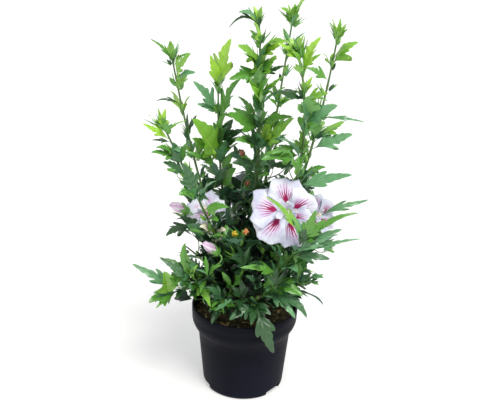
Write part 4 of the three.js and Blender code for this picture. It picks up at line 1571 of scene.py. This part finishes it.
def add_calyx(calyces, flower, rim, radius, draw):
    """The cup that holds a flower, with a ring of sepals and one of bracts."""
    depth = CUP["height"]
    points = facing_points(CALYX_CUP, flower.at, flower.ahead, radius * 0.9, depth, rim - depth)
    calyces.add(CALYX_CUP, points, finish_of("mid"))
    middle = flower.at + flower.ahead * (rim - 3)
    sepals = []
    for ring in SEPAL_RINGS:
        for i in range(ring["count"]):
            outward = turned(flower.right, flower.up, 360 * i / ring["count"] + ring["turn"])
            heading = (flower.ahead + outward * (ring["lean"] + 0.25 * draw())).normalized()
            top = (heading * outward.dot(heading) - outward).normalized()
            foot = middle + outward * radius * ring["out"] - flower.ahead * ring["back"]
            sepal = Leaf("needle", "young", foot, heading, top, radius * ring["length"], 0.08, draw)
            sepal.width *= ring["width"]
            sepals.append(sepal)
    calyces.add(LEAVES["needle"], bent(LEAVES["needle"], sepals), finish_of("young"))


def add_stalk(calyces, flower):
    """The stalk from the nearest place on the limb to the back of the cup."""
    depth = THROAT * flower.size + 8 if flower.is_open else flower.size * 0.24 + 10
    back = flower.at - flower.ahead * depth
    shares = (step / 50 for step in range(15, 48))
    nearest = min(shares, key=lambda share: (flower.limb.point(share) - back).length)
    root = flower.limb.point(min(nearest, 0.93))
    stalk = Shoot(root, back - flower.ahead * (back - root).length * 0.5, back, *STALK_RADII)
    calyces.add(SPRIG_ROD, on_shoot(SPRIG_ROD, stalk), finish_of("young", "underside"))


def flower_part_pieces():
    """The furled buds, the calyces with the stalks and small closed buds, and the stamens."""
    buds, calyces, columns = Gathering(), Gathering(), Gathering()
    for flower in flowers:
        draw = draws_for("flower_parts", flower.number)
        if flower.is_open:
            rim, radius = 2 - THROAT * flower.size, CUP["radius"]
            add_stamens(columns, flower, draw)
        else:
            girth = 0.27 * flower.size + 1.5
            rim, radius = -flower.size * 0.24, girth * 0.9
            points = facing_points(FURLED_BUD, flower.at, flower.ahead, girth * 0.86, flower.size)
            buds.add(FURLED_BUD, points, 2 * list(BUD_COLOURS).index(flower.kind))
        add_calyx(calyces, flower, rim, radius, draw)
        add_stalk(calyces, flower)
    for foot, heading, size, tint in buttons:
        girth, length = BUTTONS["girth"] * size, BUTTONS["length"] * size
        points = facing_points(CLOSED_BUTTON, foot, heading, girth, length)
        calyces.add(CLOSED_BUTTON, points, finish_of(tint))
    cream = leaf_finish("stamen_cream", (246, 240, 216), 0.5)
    buds.piece("furled_buds", bud_finishes(), "petal", bloom_nodes)
    calyces.piece("calyces", LEAF_FINISHES, "foliage", bloom_nodes)
    columns.piece("stamen_columns", [cream], "petal", bloom_nodes)


petal_piece()
flower_part_pieces()

# ---- Pot and soil -----------------------------------------------------------------------


def pot_radius(height):
    """Radius of the pot's outer face: a tapered body under a swelling collar."""
    foot, body, rim = POT["foot_radius"], POT["body_radius"], POT["rim_radius"]
    if height >= POT["collar_top"]:
        return rim
    if height <= POT["collar_foot"]:
        return foot + (body - foot) * height / POT["collar_foot"]
    rise = (height - POT["collar_foot"]) / (POT["collar_top"] - POT["collar_foot"])
    return body + (rim - body) * math.sin(rise * math.pi / 2) ** 0.9


def pot_profile():
    """Radius and height of the pot's outside from the middle of its foot up, then of its inside."""
    foot, rim, top = POT["foot_radius"], POT["rim_radius"], POT["height"]
    lip, inner, wall = rim + POT["lip"], rim - POT["lip_width"], POT["wall"]
    heights = np.linspace(POT["collar_foot"], POT["collar_top"], 15)
    collar = [(pot_radius(height), height) for height in heights]
    return [
        (0, 1.2), (foot - 14, 1.2), (foot - 13, 0), (foot - 5, 0), (foot - 2.8, 0.6), (foot - 1.2, 2),
        (pot_radius(5) - 0.3, 4.6),
        *[(pot_radius(height), height) for height in (8, 30, 60, 85, 99)],
        *collar,
        (rim, 150), (lip, 151), (lip, top - 1.4), (rim - 0.1, top - 0.3), (rim - 1, top),
        (inner + 0.4, top), (inner, top - 0.5), (inner, top - 3), (rim - wall, top - 5),
        *[(radius - wall, height) for radius, height in reversed(collar)],
        (pot_radius(POT["floor"]) - wall, POT["floor"]), (0, POT["floor"]),
    ]


def notch_cutter(bearing):
    """The block with rounded edges that cuts one drainage notch through the foot's edge."""
    block = bmesh.new()
    bmesh.ops.create_cube(block, size=1)
    bmesh.ops.bevel(block, geom=block.edges[:], offset=0.08, offset_type="OFFSET", affect="EDGES",
                    segments=3, profile=0.5, material=-1)
    size = Vector((NOTCH["depth"] + 10, NOTCH["width"], NOTCH["height"] * 2))
    middle = Vector((POT["foot_radius"] - NOTCH["depth"] / 2 + 5, 0, 0))
    bmesh.ops.scale(block, vec=size * MM, verts=block.verts)
    bmesh.ops.translate(block, vec=middle * MM, verts=block.verts)
    bmesh.ops.rotate(block, matrix=Matrix.Rotation(math.radians(bearing), 3, "Z"), verts=block.verts)
    return add_to_scene("notch_cutter", mesh_of(block, "notch_cutter"))


def pot_piece():
    """The pot with its drainage notches."""
    whole = add_to_scene("pot_uncut", mesh_of(spun(pot_profile(), POT["sides"]), "pot_uncut"))
    cutters = [notch_cutter(bearing) for bearing in NOTCH["bearings"]]
    for cutter in cutters:
        cut = whole.modifiers.new("notch", "BOOLEAN")
        cut.operation = "DIFFERENCE"
        cut.object = cutter
    graph = bpy.context.evaluated_depsgraph_get()
    mesh = bpy.data.meshes.new_from_object(whole.evaluated_get(graph))
    mesh.name = "pot_shell"
    for spare in (whole, *cutters):
        bpy.data.objects.remove(spare)
    made = set_piece("pot_shell", mesh, [pot_finish()], ["pot"])
    mesh.set_sharp_from_angle(angle=math.radians(38))
    return made


def soil_height(out):
    """Height of the soil, which falls a little from the stem to the pot's wall."""
    return SOIL["top"] + (SOIL["edge_top"] - SOIL["top"]) * (out / SOIL["edge"]) ** 3


def soil_piece():
    """The compost, crumbly on top, that fills the pot down to its floor."""
    surface = [(out, soil_height(out)) for out in np.linspace(0, SOIL["reach"], SOIL["rings"])]
    heights = (142, 136, 130, 124, 118, 110, 60)
    sides = [(pot_radius(height) - POT["wall"] - 0.8, height) for height in heights]
    underside = [(70, 12), (66, SOIL["floor"]), (0, SOIL["floor"])]
    soil = spun(surface + sides + underside, SOIL["sides"])
    for vertex in soil.verts:
        if vertex.co.z > 143 * MM and math.hypot(vertex.co.x, vertex.co.y) < 96.5 * MM:
            clods, crumbs = noise.noise(vertex.co * 90), noise.noise(vertex.co * 320)
            vertex.co.z += (2.2 * clods + 1.2 * crumbs) * MM
    return set_piece("soil_bed", mesh_of(soil, "soil_bed"), [soil_finish()], ["potting_soil"])


def chip_piece():
    """Chips of bark that lie about on the soil."""
    chips = Gathering()
    draw = draws_for("chips")
    for _ in range(CHIPS["count"]):
        angle, out = FULL_TURN * draw(), CHIPS["reach"] * math.sqrt(draw())
        place = (out * math.cos(angle), out * math.sin(angle), soil_height(out) + 1.2 * draw())
        size = (3 + 6.5 * draw() ** 2, 1.4 + 2.4 * draw(), 0.7 + 1.1 * draw())
        turn = Matrix.Rotation(FULL_TURN * draw(), 3, "Z") @ Matrix.Rotation(0.7 * (draw() - 0.5), 3, "Y")
        points = BARK_FLAKE.points * size @ np.array(turn).T + place
        kind = CHIP_KINDS.index("dark")
        if draw() > CHIPS["dark_share"]:
            kind = min(int(draw() ** 1.6 * len(CHIP_KINDS)), len(CHIP_KINDS) - 1)
        chips.add(BARK_FLAKE, points[None], kind)
    finishes = [leaf_finish(f"chip_{kind}", *looks) for kind, looks in CHIP_LOOKS.items()]
    return chips.piece("bark_chips", finishes, "soil", ["potting_soil"])


pot_piece()
soil_piece()
chip_piece()
